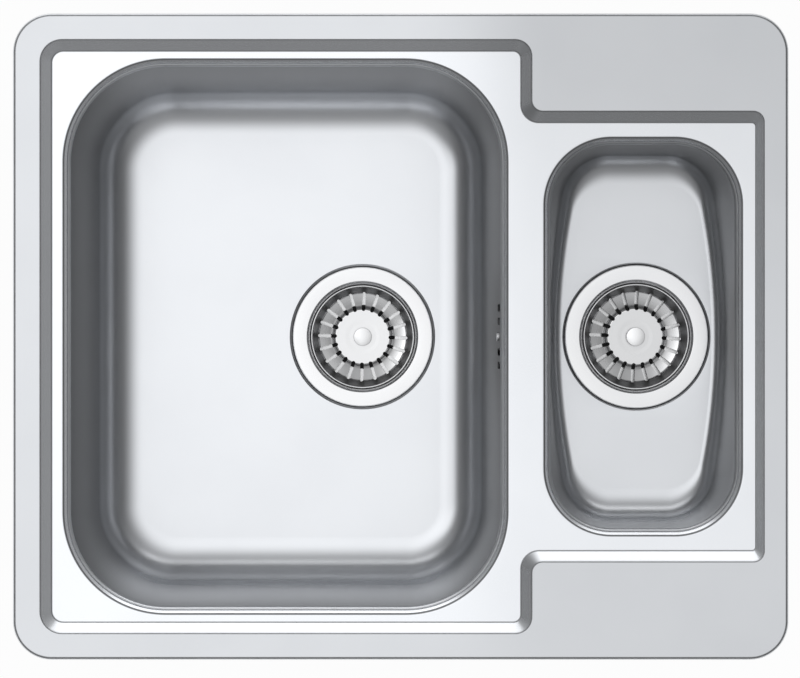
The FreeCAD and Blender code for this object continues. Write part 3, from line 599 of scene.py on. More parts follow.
@dataclass(frozen=True)
class Steel(Finish):
    """Metal: its colour, gloss, grain and slow waves of the sheet, and painted shade in its colour.
    """

    colour: Triple
    dull_colour: Triple
    roughness: float
    roughness_swing: float
    grain: Triple                 # repeats a metre along each axis
    grain_depth: float            # metres, as is the wave's
    wave_depth: float = 0.0
    wave_scale: float = 9.0
    other_roughness: float = 0.0  # beyond the levels, from the first to the second
    levels: Pair = (0.0046, 0.0058)
    other_shade_tone: float = 1.0       # painted shade: how bright its colour is there
    shade_roughness: float = 0.0  # added where the shade is full
    right_shade_tone: float = 1.0       # painted shade: how bright the right half's colour is
    right_from: Pair = (0.0, 0.12)
    rear_shade_tone: float = 1.0        # painted shade: and how bright its rear is, on top of that
    rear_from: Pair = (-0.1, 0.26)
    cloud_scale: float = 14.0
    cloud_from: Pair = (0.3, 0.75)

    def sockets(self, recipe: Recipe) -> dict:
        """Fine grain in the bump and gloss, slow clouds in the colour, painted shade, a rougher
        rim.

        Args:
            recipe: the material's tree.

        Returns:
            What each socket gets.
        """
        grain = noise(recipe, stretched(recipe, self.grain), scale=1.0, detail=3.0, roughness=0.6)
        clouds = noise(recipe, object_place(recipe), self.cloud_scale, detail=3.0)
        roughness = self.roughness + (grain - 0.5) * self.roughness_swing
        roughness = roughness + (clouds - 0.5) * self.roughness_swing
        split = recipe.node("ShaderNodeSeparateXYZ", None, {0: object_place(recipe)})
        shade = recipe.value(recipe.node("ShaderNodeAttribute", {"attribute_name": SHADE}), "Fac")
        right = recipe.value(split, 0).step(*self.right_from)
        rear = recipe.value(split, 1).step(*self.rear_from)
        # painted shade: the corners' shade values, and a darker right half and right rear
        tone = (1 - shade) * (1 - right * ((1 - self.right_shade_tone) + rear * (1 - self.rear_shade_tone)))
        roughness = roughness + shade * self.shade_roughness
        # beyond the levels, on the rim: rougher, and darker by painted shade
        if self.other_roughness:
            beyond = recipe.value(split, 2).step(*self.levels)
            roughness = roughness + beyond * (self.other_roughness - self.roughness)
            tone = tone * (1 - beyond * (1 - self.other_shade_tone))
        bump = recipe.node("ShaderNodeBump", None, {
            "Strength": 1.0, "Distance": self.grain_depth, "Height": grain})
        normal = bump.outputs[0]
        if self.wave_depth:
            wave = noise(recipe, object_place(recipe), self.wave_scale, detail=1.0, roughness=0.4)
            normal = recipe.node("ShaderNodeBump", None, {
                "Strength": 1.0, "Distance": self.wave_depth, "Height": wave,
                "Normal": normal}).outputs[0]
        colour = blend(recipe, clouds.step(*self.cloud_from), self.colour, self.dull_colour)
        toned = recipe.node("ShaderNodeVectorMath", {"operation": "SCALE"},
                            {0: colour, "Scale": tone})
        return {"Base Color": toned.outputs[0], "Metallic": 1.0, "Roughness": roughness,
                "Normal": normal}


@dataclass(frozen=True)
class Moulded(Finish):
    """Plastic, rubber, foam or felt: colour with faint mottling and a fine surface texture."""

    colour: Triple
    deep_colour: Triple
    roughness: float
    texture_scale: float
    texture_depth: float
    cells: bool = False
    gloss_swing: float = 0.12
    mottle_scale: float = 60.0
    mottle_from: Pair = (0.3, 0.7)

    def sockets(self, recipe: Recipe) -> dict:
        """Mottled colour, and a noise or cell texture in the bump and gloss.

        Args:
            recipe: the material's tree.

        Returns:
            What each socket gets.
        """
        place = object_place(recipe)
        mottle = noise(recipe, place, self.mottle_scale, detail=4.0)
        if self.cells:
            made = recipe.node("ShaderNodeTexVoronoi", None, {
                "Vector": place, "Scale": self.texture_scale})
            texture = recipe.value(made, "Distance")
        else:
            texture = noise(recipe, place, self.texture_scale, detail=3.0, roughness=0.6)
        bump = recipe.node("ShaderNodeBump", None, {
            "Strength": 1.0, "Distance": self.texture_depth, "Height": texture})
        colour = blend(recipe, mottle.step(*self.mottle_from), self.colour, self.deep_colour)
        return {"Base Color": colour, "Normal": bump.outputs[0],
                "Roughness": self.roughness + (texture - 0.5) * self.gloss_swing}


class Slot(Enum):
    """The record's material slots."""

    SATIN_STEEL = "satin_steel"
    POLISHED_STEEL = "polished_steel"
    TURNED_STEEL = "turned_steel"
    ZINC_PLATE = "zinc_plate"
    BLACK_RUBBER = "black_rubber"
    FOAM_SEAL = "foam_seal"
    MOULDED_PLASTIC = "moulded_plastic"
    HOSE_PLASTIC = "hose_plastic"
    BRASS = "brass"
    DAMPING_PAD = "damping_pad"


FINISHES: dict[Slot, Finish] = {
    # satin steel: painted shade darkens the rim, the right half, and the right half's rear more
    Slot.SATIN_STEEL: Steel(
        (0.806, 0.82, 0.845), (0.786, 0.8, 0.826), 0.27, 0.012, (120.0, 2600.0, 900.0), 2.5e-7,
        wave_depth=6e-5, other_roughness=0.36, other_shade_tone=0.825, shade_roughness=0.3,
        right_shade_tone=0.91, rear_shade_tone=0.87),
    Slot.POLISHED_STEEL: Steel(
        (0.82, 0.82, 0.825), (0.79, 0.79, 0.8), 0.12, 0.03, (1500.0, 1500.0, 1500.0), 1e-6,
        shade_roughness=0.5),
    Slot.TURNED_STEEL: Steel(
        (0.76, 0.76, 0.77), (0.68, 0.68, 0.69), 0.26, 0.08, (200.0, 200.0, 5200.0), 6e-6),
    Slot.ZINC_PLATE: Steel(
        (0.72, 0.74, 0.76), (0.6, 0.63, 0.66), 0.36, 0.14, (1800.0, 1800.0, 1800.0), 8e-6),
    Slot.BRASS: Steel(
        (0.76, 0.6, 0.31), (0.6, 0.45, 0.2), 0.3, 0.1, (200.0, 200.0, 4200.0), 6e-6),
    Slot.BLACK_RUBBER: Moulded(
        (0.032, 0.032, 0.034), (0.045, 0.045, 0.047), 0.62, 2600.0, 2e-5),
    Slot.FOAM_SEAL: Moulded(
        (0.085, 0.085, 0.09), (0.13, 0.13, 0.135), 0.9, 1500.0, 1.8e-4, cells=True),
    Slot.MOULDED_PLASTIC: Moulded((0.83, 0.83, 0.81), (0.78, 0.78, 0.755), 0.42, 1900.0, 2.5e-5),
    Slot.HOSE_PLASTIC: Moulded((0.73, 0.73, 0.72), (0.67, 0.67, 0.655), 0.36, 1400.0, 2e-5),
    Slot.DAMPING_PAD: Moulded(
        (0.1, 0.1, 0.105), (0.15, 0.148, 0.145), 0.82, 900.0, 2e-4, cells=True),
}


class Paints:
    """Materials, one for each slot, made once."""

    def __init__(self) -> None:
        """Starts with none."""
        self.made: dict[Slot, bpy.types.Material] = {}

    def of(self, slot: Slot) -> bpy.types.Material:
        """The slot's material.

        Args:
            slot: the slot.

        Returns:
            The same material each time.
        """
        if slot not in self.made:
            self.made[slot] = FINISHES[slot].material(slot.value)
        return self.made[slot]


# Pieces


def read(items: bpy.types.bpy_prop_collection, name: str, kind: type) -> Array:
    """One property of all items of a mesh.

    Args:
        items: its points, faces, corners or normals.
        name: the property.
        kind: its numbers' type. A vector's come one after the other.

    Returns:
        The numbers.
    """
    width = 3 if kind is np.float32 else 1
    values = np.empty(len(items) * width, kind)
    items.foreach_get(name, values)
    return values


@dataclass(frozen=True)
class Piece:
    """A finished piece: its shape, and what it is in the frame."""

    name: str
    surface: Surface
    slot: Slot
    body: str = "sink"
    stands_for: tuple[str, ...] = ()
    sheet_t: float = 0.0  # thickness under an open surface, which then faces up
    shading: Shading = Shading()

    def build(self, paints: Paints) -> bpy.types.Object:
        """Makes the object, and says what it rides on and replaces.

        Args:
            paints: the materials.

        Returns:
            The object, at the origin, with its place in its mesh.
        """
        mesh = bpy.data.meshes.new(self.name)
        surface = self.surface
        mesh.from_pydata((surface.points * MM).tolist(), [],
                         surface.quads.tolist() + surface.triangles.tolist())
        self._weld(mesh)
        made = bpy.data.objects.new(self.name, mesh)
        bpy.context.scene.collection.objects.link(made)
        if self.sheet_t:
            mesh.materials.append(paints.of(self.slot))
            mesh.materials.append(paints.of(self.slot))
            made.data = self._thickened(made)
        made.data.shade_smooth()
        made.data.set_sharp_from_angle(angle=SHARP_ANGLE)
        self._mark_shade(made.data)
        made.data.polygons.foreach_set("material_index", [0] * len(made.data.polygons))
        made.data.materials.clear()
        made.data.materials.append(paints.of(self.slot))
        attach(made, self.body)
        if self.stands_for:
            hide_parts(*self.stands_for)
        log.info("%s: %d faces", self.name, len(made.data.polygons))
        return made

    def _weld(self, mesh: bpy.types.Mesh) -> None:
        """Joins points that lie together, and turns all faces outwards, or a sheet's up.

        Args:
            mesh: changed in place.
        """
        shape = bmesh.new()
        shape.from_mesh(mesh)
        bmesh.ops.remove_doubles(shape, verts=shape.verts, dist=WELD)
        bmesh.ops.dissolve_degenerate(shape, edges=shape.edges, dist=WELD)
        bmesh.ops.recalc_face_normals(shape, faces=shape.faces)
        if self.sheet_t and sum(f.normal.z * f.calc_area() for f in shape.faces) < 0:
            bmesh.ops.reverse_faces(shape, faces=shape.faces)
        shape.to_mesh(mesh)
        shape.free()

    def _mark_shade(self, mesh: bpy.types.Mesh) -> None:
        """Stores the painted shade at each face corner. The faces' material number marks cut edges.

        Args:
            mesh: gets the attribute.
        """
        points = read(mesh.vertices, "co", np.float32).reshape(-1, 3)
        normals = read(mesh.corner_normals, "vector", np.float32).reshape(-1, 3)
        corner_point = read(mesh.loops, "vertex_index", np.int32)
        number, size = (read(mesh.polygons, name, np.int32)
                        for name in ("material_index", "loop_total"))
        shade = self.shading.of(points[corner_point] / MM, normals, np.repeat(number, size) > 0)
        mesh.attributes.new(SHADE, "FLOAT", "CORNER").data.foreach_set("value", shade)

    def _thickened(self, made: bpy.types.Object) -> bpy.types.Mesh:
        """The mesh with its sheet's thickness behind the face in view.

        Args:
            made: the object with the open mesh.

        Returns:
            A new mesh. Its cut edges have material number 1.
        """
        sheet = made.modifiers.new("sheet", "SOLIDIFY")
        sheet.thickness = self.sheet_t * MM
        sheet.offset = -1.0
        sheet.use_even_offset = True
        sheet.material_offset_rim = 1
        graph = bpy.context.evaluated_depsgraph_get()
        solid = bpy.data.meshes.new_from_object(made.evaluated_get(graph))
        made.modifiers.clear()
        return solid


@dataclass(frozen=True)
class Plan:
    """Plan and levels that the deck and the bowls share, as in the solids."""

    deck: Outline = Outline(0.0, 300.0, 250.0, 30.0)
    rim_z: float = 6.0
    recess_z: float = -0.7
    lip_end_z: float = -5.1
    sheet_t: float = 0.8
    rim_edge_r: float = 2.5
    lip_r: float = 4.1
    flange_reach: float = 5.0  # of a bowl's flange, out from its ledge
    ledge: float = 0.3
    throat_r: float = 1.6
    throat_shown_r: float = 3.2  # the round that the light shows there
    main_lip: Outline = Outline(-89.25, 172.95, 215.7, 80.0)
    small_lip: Outline = Outline(188.0, 77.5, 155.0, 53.0)
    main_floor_z: float = -160.0
    small_floor_z: float = -84.0
    main_waste_x: float = -31.2
    small_waste_x: float = 188.0
    main_outlet_z: float = -245.0
    small_outlet_z: float = -169.0
    side_clip: Pair = (274.0, 125.0)
    end_clip: Pair = (180.0, 224.0)

    def wall_top(self, lip: Outline) -> Outline:
        """A bowl's wall at its top: inside the lip, the ledge and the throat."""
        return lip.grown(-self.lip_r - self.ledge - self.throat_r)

    def flange_out(self) -> float:
        """How far a bowl's flange reaches out from the top of its wall."""
        return self.flange_reach + self.ledge + self.throat_r


PLAN = Plan()


@dataclass
class Deck:
    """Pressed deck: rim, turned-down edge, recess with its sloping wall, and two lips."""

    plan: Plan = PLAN
    recess_x: Pair = (-270.4, 275.0)  # slope's foot, left and right
    recess_side: float = 221.2
    recess_step: float = 93.0
    recess_nook: float = 165.8
    slope_run: float = 8.5
    slope_run_right: float = 6.2
    top_radii: tuple[float, ...] = (17.0, 13.0, 8.5, 8.5)
    foot_radii: tuple[float, ...] = (9.0, 6.0, 14.0, 3.0)
    edge_share: float = 0.07               # of the slope that its upper rounding takes
    foot_share: float = 0.09               # and its lower one
    least_r: float = 0.5                   # of the slope's outlines
    lip_start: float = 1.6                 # where a lip leaves the flat, outside its own outline
    lip_bend: Pair = (-0.9, 3.4)           # its tight bend: corner and rounding
    lip_slant: Corner = (0.85, 0.61, 1.2)  # slant's end, in and down by lip_r, and rounding

    def _recess_corners(self, top: bool) -> tuple[Array, Array]:
        """Corners and radii of the slope's upper or lower outline.

        Args:
            top: whether the upper one.

        Returns:
            Corners by 2, and the radius of each.
        """
        run, run_right = (self.slope_run, self.slope_run_right) if top else (0.0, 0.0)
        left, right = self.recess_x[0] - run, self.recess_x[1] + run_right
        step, side, nook = self.recess_step + run, self.recess_side + run, self.recess_nook + run
        rear = np.array([(left, side), (step, side), (step, nook), (right, nook)])
        radii = np.array(self.top_radii if top else self.foot_radii)
        corners = np.concatenate([rear, rear[::-1] * np.array([1.0, -1.0])])
        return corners, np.concatenate([radii, radii[::-1]])

    def _slope_rows(self) -> Array:
        """Rows down the recess's wall.

        A row's outline lies between the upper and the lower one by its share, and each rounding
        is a curve (1-u)^2 a + 2u(1-u) b + u^2 c, from the flat a over the edge b to the slope c.

        Returns:
            Rows by points by 3.
        """
        plan, e, f = self.plan, self.edge_share, self.foot_share
        drop = plan.recess_z - plan.rim_z
        u = np.linspace(0, 1, 7)[:, None]
        weights = np.concatenate([(1 - u) ** 2, 2 * u * (1 - u), u ** 2], 1)
        upper = weights @ np.array([(-e, plan.rim_z), (0, plan.rim_z), (e, plan.rim_z + e * drop)])
        lower = weights @ np.array([(1 - f, plan.rim_z + (1 - f) * drop), (1, plan.recess_z),
                                    (1 + f, plan.recess_z)])
        hold = HOLD / self.slope_run
        path = np.concatenate([[(-e - hold, plan.rim_z)], upper, lower,
                               [(1 + f + hold, plan.recess_z)]])
        top, top_r = self._recess_corners(True)
        foot, foot_r = self._recess_corners(False)
        share = path[:, 0]
        corners = top + (foot - top) * share[:, None, None]
        radii = np.maximum(top_r + (foot_r - top_r) * share[:, None], self.least_r)
        return rounded_loops(corners, radii, path[:, 1], 12)

    def _edge_rows(self) -> Array:
        """Rows from the rim's flat over its turned-down edge: a quarter circle and a drop.

        Returns:
            Rows by points by 3.
        """
        r, top = self.plan.rim_edge_r, self.plan.rim_z
        angle = np.linspace(0, QUARTER_TURN, 9)
        out = np.concatenate([[-r - HOLD], -r + r * np.sin(angle), [0.0]])
        level = np.concatenate([[top], top - r + r * np.cos(angle), [0.0]])
        return self.plan.deck.grown(out).rows(level)

    def _lip_rows(self, lip: Outline) -> Array:
        """Rows from the recess's floor over a lip: a tight bend, a slant, and a bend down.

        Args:
            lip: the lip's outline.

        Returns:
            Rows by points by 3.
        """
        r, top = self.plan.lip_r, self.plan.recess_z
        (bend, bend_r), (slant_in, slant_down, slant_r) = self.lip_bend, self.lip_slant
        line = rounded_line([(self.lip_start, top, 0), (bend, top, bend_r),
                             (-slant_in * r, top - slant_down * r, slant_r),
                             (-r, self.plan.lip_end_z, 0)], 7)
        return lip.grown(line[:, 0]).rows(line[:, 1], corner_steps=36)

    def pieces(self) -> list[Piece]:
        """The deck as one sheet.

        Returns:
            The finished pieces.
        """
        edge, slope = self._edge_rows(), self._slope_rows()
        lips = [self._lip_rows(lip) for lip in (self.plan.main_lip, self.plan.small_lip)]
        parts = [grid(edge), grid(slope), *map(grid, lips), flat([edge[0], slope[0]]),
                 flat([slope[-1], lips[0][0], lips[1][0]])]
        # painted shade on the deck's steep faces and in its bends
        return [Piece("deck_sheet", joined(parts), Slot.SATIN_STEEL, "sink", ("deck",),
                      self.plan.sheet_t, Shading((0.55, 0.55, 0.55), bends=(0.55, 0.72)))]


@dataclass
class Seat:
    """Round seat pressed into a bowl's floor, and its hole."""

    x: float
    floor_z: float
    high_r: float = 59.5
    low_r: float = 57.0
    depth: float = 1.8
    hole_r: float = 45.0
    round_r: float = 0.4

    def rows(self) -> Array:
        """Rows from the floor down the seat's slope and in to the hole.

        Returns:
            Rows by points by 3.
        """
        line = rounded_line([
            (self.high_r + HOLD + self.round_r / 2, 0, 0), (self.high_r, 0, self.round_r),
            (self.low_r, -self.depth, self.round_r), (self.hole_r, -self.depth, 0)], 4)
        return revolved(line, self.x, self.floor_z, 144)


@dataclass
class MainBowl:
    """Large drawn bowl: ledge, throat, drafted walls, wide bottom radius, seat and overflow."""

    plan: Plan = PLAN
    draft: float = math.radians(5.06)
    bottom_r: float = 35.0
    overflow_z: float = -18.2
    slot_places: tuple[float, ...] = (-22.4, -12.0, 12.0, 22.4)
    slot_size: Pair = (5.5, 16.0)
    slot_r: float = 1.6
    screw_hole_r: float = 2.4
    screw_hole_round: float = 0.98  # its rounding, as a share of its radius

    def _wall_rows(self) -> Array:
        """Rows from the flange's outer edge in to the flat of the floor.

        Returns:
            Rows by points by 3.
        """
        plan, top = self.plan, self.plan.lip_end_z
        wall = plan.wall_top(plan.main_lip)
        inset = (top - plan.main_floor_z) * math.tan(self.draft)
        bend_end = -inset - self.bottom_r * math.tan((QUARTER_TURN - self.draft) / 2)
        line = [(plan.flange_out(), top, 0), (0, top, plan.throat_shown_r),
                (-inset, plan.main_floor_z, self.bottom_r), (bend_end - HOLD, plan.main_floor_z, 0)]
        path = rounded_line(line, 20)
        return wall.grown(path[:, 0]).rows(path[:, 1], corner_steps=36)

    def _hole(self, y: float, half_y: float, half_z: float, radius: float) -> Array:
        """Rounded hole in the plane of the right wall, at a place along Y.

        The wall's plane leans out by the draft: a point v up the wall from the slots' middle
        is v sin(draft) further right and v cos(draft) higher.

        Args:
            y: the hole's middle.
            half_y: half its length.
            half_z: half its height.
            radius: its corners' rounding.

        Returns:
            The hole's loop.
        """
        corners = np.array([[(y + half_y, half_z), (y - half_y, half_z),
                             (y - half_y, -half_z), (y + half_y, -half_z)]])
        loop = rounded_loops(corners, np.full((1, 4), radius), np.zeros(1), 5)[0]
        wall = self.plan.wall_top(self.plan.main_lip)
        drop = self.plan.lip_end_z - self.overflow_z
        x = wall.x_mid + wall.half_x - drop * math.tan(self.draft)
        up = loop[:, 1]
        return np.stack([x + up * math.sin(self.draft), loop[:, 0],
                         self.overflow_z + up * math.cos(self.draft)], -1)

    def _right_wall(self, rows: Array, upper: int) -> Surface:
        """The wall's flat right side with the overflow's slots and screw hole.

        Args:
            rows: the bowl's rows.
            upper: the one at the wall's top.

        Returns:
            The side.
        """
        outer = np.stack([rows[upper, -1], rows[upper, 0], rows[upper + 1, 0],
                          rows[upper + 1, -1]])
        half_y, half_z = (size / 2 for size in self.slot_size)
        holes = [self._hole(y, half_y, half_z, self.slot_r) for y in self.slot_places]
        r = self.screw_hole_r
        holes.append(self._hole(0.0, r, r, r * self.screw_hole_round))
        return flat([outer, *holes])

    def pieces(self) -> list[Piece]:
        """The bowl as one sheet.

        Returns:
            The finished pieces.
        """
        plan = self.plan
        rows = self._wall_rows()
        seat = Seat(plan.main_waste_x, plan.main_floor_z).rows()
        steep = int(np.argmax(rows[:-1, 0, 2] - rows[1:, 0, 2]))
        parts = [grid(rows[:steep + 1]),
                 grid(rows[steep:steep + 2], leave_out=(rows.shape[1] - 1,)),
                 grid(rows[steep + 1:]), self._right_wall(rows, steep), grid(seat),
                 flat([rows[-1], seat[0]])]
        # painted shade on the walls, less low down, painted light low on the front wall, painted
        # shade low in the bowl and in the throat's bend
        return [Piece("main_bowl_shell", joined(parts), Slot.SATIN_STEEL, "sink", ("main_bowl",),
                      plan.sheet_t,
                      Shading((0.56, 0.6, 0.76), low_shares=(0.55, -0.3, 0.55), deep=0.09,
                              deep_from=(-15.0, -120.0), bends=(0.0, 0.12),
                              bend_from=(0.01, 0.1, 0.4, 0.6), bend_above=-8.5))]


@dataclass
class SmallBowl:
    """Small drawn bowl: straight at the top, bowed at the floor, with a soft elliptic bottom."""

    plan: Plan = PLAN
    draft_long: float = math.radians(1.4)
    draft_end: float = math.radians(4.6)
    floor_side_r: float = 530.0
    floor_corner_r: float = 38.0
    bottom_run: Pair = (10.0, 22.0)
    bottom_rise: float = 17.0
    least_share: float = 1e-4  # keeps the top's side radius finite

    def _wall(self, level: Array) -> Outline:
        """Wall's outline at levels: its sizes go evenly from the top's to the floor's.

        Args:
            level: the levels.

        Returns:
            The outline, with one entry for each level.
        """
        plan = self.plan
        top = plan.wall_top(plan.small_lip)
        height = plan.lip_end_z - plan.small_floor_z
        share = np.maximum((plan.lip_end_z - level) / height, self.least_share)
        return Outline(top.x_mid, top.half_x - height * math.tan(self.draft_long) * share,
                       top.half_y - height * math.tan(self.draft_end) * share,
                       top.corner_r + (self.floor_corner_r - top.corner_r) * share,
                       self.floor_side_r / share)

    def _wall_rows(self) -> Array:
        """Rows from the flange in to the floor's flat.

        The throat is a quarter circle. At the bottom the level rises by rise (1 - sin t) while
        the outline runs in by run (1 - cos t), for t from 0 to a quarter turn.

        Returns:
            Rows by points by 3.
        """
        plan, r = self.plan, self.plan.throat_shown_r
        top, floor = plan.lip_end_z, plan.small_floor_z
        angle = np.linspace(0, QUARTER_TURN, 9)
        straight = np.linspace(top - r, floor + self.bottom_rise, 10)[1:]
        turn = np.linspace(0, QUARTER_TURN, 25)[1:]
        bottom = floor + self.bottom_rise * (1 - np.sin(turn))
        level = np.concatenate([[top], top - r + r * np.cos(angle), straight, bottom, [floor]])
        out = np.zeros(len(level))
        out[0] = plan.flange_out()
        out[1:len(angle) + 1] = r - r * np.sin(angle)
        inwards = np.zeros(len(level))
        inwards[-len(turn) - 1:-1] = 1 - np.cos(turn)
        inwards[-1] = 1 + HOLD / self.bottom_run[1] / 2
        wall = self._wall(level)
        run_x, run_y = self.bottom_run
        shape = Outline(wall.x_mid, wall.half_x - run_x * inwards, wall.half_y - run_y * inwards,
                        wall.corner_r - run_x * inwards, wall.side_r)
        return shape.grown(out).rows(level, corner_steps=30, side_steps=24)

    def pieces(self) -> list[Piece]:
        """The bowl as one sheet.

        Returns:
            The finished pieces.
        """
        plan = self.plan
        rows = self._wall_rows()
        seat = Seat(plan.small_waste_x, plan.small_floor_z, high_r=59.1, round_r=0.3).rows()
        parts = [grid(rows), grid(seat[1:]), flat([rows[-1], seat[1]])]
        # painted shade on the walls, less low down, painted light low on the front wall, painted
        # shade low in the bowl and in the throat's bend
        return [Piece("small_bowl_shell", joined(parts), Slot.SATIN_STEEL, "sink",
                      ("small_bowl",), plan.sheet_t,
                      Shading((0.55, 0.3, 0.6), low_shares=(0.7, -0.7, 0.7), deep=0.13,
                              deep_from=(-15.0, -65.0), bends=(0.0, 0.3),
                              bend_from=(0.01, 0.1, 0.4, 0.6), bend_above=-8.5))]


@dataclass
class WasteFlange:
    """Polished ring and dish drawn in one, with the plug's seat, a well and drain holes."""

    name: str
    x: float
    z: float
    level_shade: float  # see Shading.level
    sheet_t: float = 0.8
    ring_r: float = 56.5
    ring_edge: Corner = (0.15, 0.25, 0.1)  # bevel's width and height, and rounding
    mouth: Pair = (42.9, 3.5)              # radius, and depth of its bend
    mouth_bend: Pair = (2.6, 0.9)          # bend's start outside the radius, and rounding
    mouth_end: Pair = (0.3, 2.0)           # its end inside it, and rounding
    base: Corner = (40.0, 33.0, 3.0)       # radius, depth and rounding
    well: Corner = (20.0, 17.0, 5.0)       # upper and lower radius, depth
    well_round: float = 1.0
    well_rim: float = 1.2                  # of its floor, outside the holes' face
    shank_hole_r: float = 5.2
    drain_r: float = 3.6
    drain_pitch_r: float = 11.5
    drains: int = 6

    def pieces(self) -> list[Piece]:
        """The flange as one sheet.

        Returns:
            The finished pieces.
        """
        (bevel, bevel_z, bevel_round), (mouth_r, mouth_z) = self.ring_edge, self.mouth
        (bend, bend_round), (end, end_round) = self.mouth_bend, self.mouth_end
        (base_r, depth, base_round), (upper_r, lower_r, well_depth) = self.base, self.well
        low = -depth - well_depth
        line = rounded_line([
            (self.ring_r, -bevel_z, 0), (self.ring_r - bevel, 0, bevel_round),
            (mouth_r + bend, 0, bend_round), (mouth_r - end, -mouth_z, end_round),
            (base_r, -depth, base_round), (upper_r, -depth, self.well_round),
            (lower_r, low, self.well_round), (lower_r - self.well_rim, low, 0)], 8)
        rows = revolved(line, self.x, self.z, 144)
        inner = circle(self.x, 0, self.z + low, self.shank_hole_r, 32)
        turns = np.arange(self.drains) * FULL_TURN / self.drains
        out = self.drain_pitch_r
        holes = [circle(self.x + out * math.cos(a), out * math.sin(a), self.z + low,
                        self.drain_r, 28) for a in turns]
        parts = [grid(rows), flat([rows[-1], inner, *holes])]
        # painted shade on the dish's walls, on the level ring and deep in the dish
        return [Piece(self.name + "_flange_dish", joined(parts), Slot.POLISHED_STEEL, "sink",
                      (self.name + "_waste_flange",), self.sheet_t,
                      Shading((0.6, 0.6, 0.6), (0.3, 0.6), level=self.level_shade, deep=0.1,
                              deep_from=(self.z - 20.0, self.z - 28.0)))]


@dataclass
class Strainer:
    """Lift-out strainer: a drawn cup with radial slots, and its domed knob."""

    name: str
    x: float
    z: float
    level_shade: float  # see Shading.level
    sheet_t: float = 0.7
    slots: int = 20
    slot_half: float = 1.5
    slot_reach: Pair = (21.2, 36.8)
    rib_steps: int = 8
    hem: tuple[Corner, Corner, Corner] = ((42.1, -3.2, 0), (42.0, -2.25, 0.5), (41.0, -2.3, 0.6))
    foot: Corner = (36.2, -20.0, 1.6)      # of the cup's side
    trough: Corner = (24.3, -23.6, 2.6)
    shoulder: Corner = (22.8, -16.0, 1.3)  # of the raised middle
    middle: tuple[Corner, Corner, Corner] = ((14.0, -16.0, 3.0), (11.0, -16.1, 3.0),
                                             (6.0, -16.05, 0))
    knob_r: float = 7.4
    knob_base: float = -16.0
    knob_top: float = -8.0
    knob_rise: float = 0.75
    dome: Pair = (0.001, 0.98)       # shares of the radius where it starts and ends
    knob_side: Pair = (0.1, 3.4)     # its upper and lower edge, below the dome
    knob_round: float = 0.7
    waist: Corner = (4.6, 4.0, 0.9)  # radius, how far below the dome, rounding
    waist_end: Pair = (4.3, 0.8)     # radius, and how far above the base
    knob_foot_r: float = 5.4
    turn: float = 0.0

    def _line(self) -> Array:
        """Cup's profile from its hemmed rim to its middle, with rows at the slots' ends.

        Returns:
            (radius, level) by rows.
        """
        line = rounded_line([*self.hem, self.foot, self.trough, self.shoulder, *self.middle], 6)
        low, high = self.slot_reach
        end = self.slot_half * (1 - np.cos(np.linspace(0, QUARTER_TURN, 6)))
        radii = np.unique(np.concatenate([line[2:, 0], low + end, high - end]))[::-1]
        level = np.interp(radii[::-1], line[:1:-1, 0], line[:1:-1, 1])[::-1]
        return np.concatenate([line[:2], np.stack([radii, level], -1)])

    def _cup(self) -> Surface:
        """Ribs between the slots.

        At radius r a slot takes an angle of asin(w / r) each side of its middle, where w is its
        half width, and near an end sqrt(w^2 - d^2), with d the way past the end's centre. Each
        rib's columns share what is left, and meet where there is no slot.

        Returns:
            The cup's upper face.
        """
        line = self._line()
        radius, level = line[:, 0], line[:, 1]
        low, high = self.slot_reach
        past = np.maximum(np.maximum(low + self.slot_half - radius,
                                     radius - high + self.slot_half), 0)
        width = np.sqrt(np.maximum(self.slot_half ** 2 - past ** 2, 0))
        gap = np.arcsin(np.minimum(width / radius, 1))[:, None, None]
        pitch = FULL_TURN / self.slots
        start = (np.arange(self.slots) * pitch)[None, :, None]
        share = np.linspace(0, 1, self.rib_steps + 1)
        angle = (self.turn + start + gap + share * (pitch - 2 * gap)).reshape(len(radius), -1)
        rows = around(self.x, 0.0, radius[:, None], angle, level[:, None] + self.z)
        ends = tuple(range(self.rib_steps, rows.shape[1], self.rib_steps + 1))
        return grid(rows, leave_out=ends)

    def _knob(self) -> Surface:
        """Knob: a shallow dome, a round edge, a waist and a small foot.

        Returns:
            The knob, open below.
        """
        out = np.linspace(*self.dome, 12)
        top = np.stack([self.knob_r * out, self.knob_top - self.knob_rise * out ** 2], -1)
        edge_z = self.knob_top - self.knob_rise
        upper, lower = (edge_z - drop for drop in self.knob_side)
        waist_r, waist_drop, waist_round = self.waist
        end_r, end_rise = self.waist_end
        rest = rounded_line([
            (*top[-1], 0), (self.knob_r, upper, self.knob_round),
            (self.knob_r, lower, self.knob_round), (waist_r, edge_z - waist_drop, waist_round),
            (end_r, self.knob_base + end_rise, self.knob_round),
            (self.knob_foot_r, self.knob_base, 0)], 5)
        return grid(revolved(np.concatenate([top[:-1], rest]), self.x, self.z, 56))

    def pieces(self) -> list[Piece]:
        """Cup and knob.

        Returns:
            The finished pieces.
        """
        body = self.name + "_basket"
        # painted shade on the cup's walls, slopes, level middle and trough, and evenly over the
        # knob
        return [
            Piece(self.name + "_strainer_cup", self._cup(), Slot.POLISHED_STEEL, body,
                  (body + "_cup",), self.sheet_t,
                  Shading((0.42, 0.42, 0.42), (0.35, 0.6), (0.08, 0.45, 0.0),
                          level=self.level_shade * 1.8, deep=0.5,
                          deep_from=(self.z - 22.1, self.z - 22.9))),
            Piece(self.name + "_strainer_knob", self._knob(), Slot.POLISHED_STEEL, body,
                  (body + "_knob",), shading=Shading(deep=0.1, deep_from=(self.z, self.z - 1.0))),
        ]


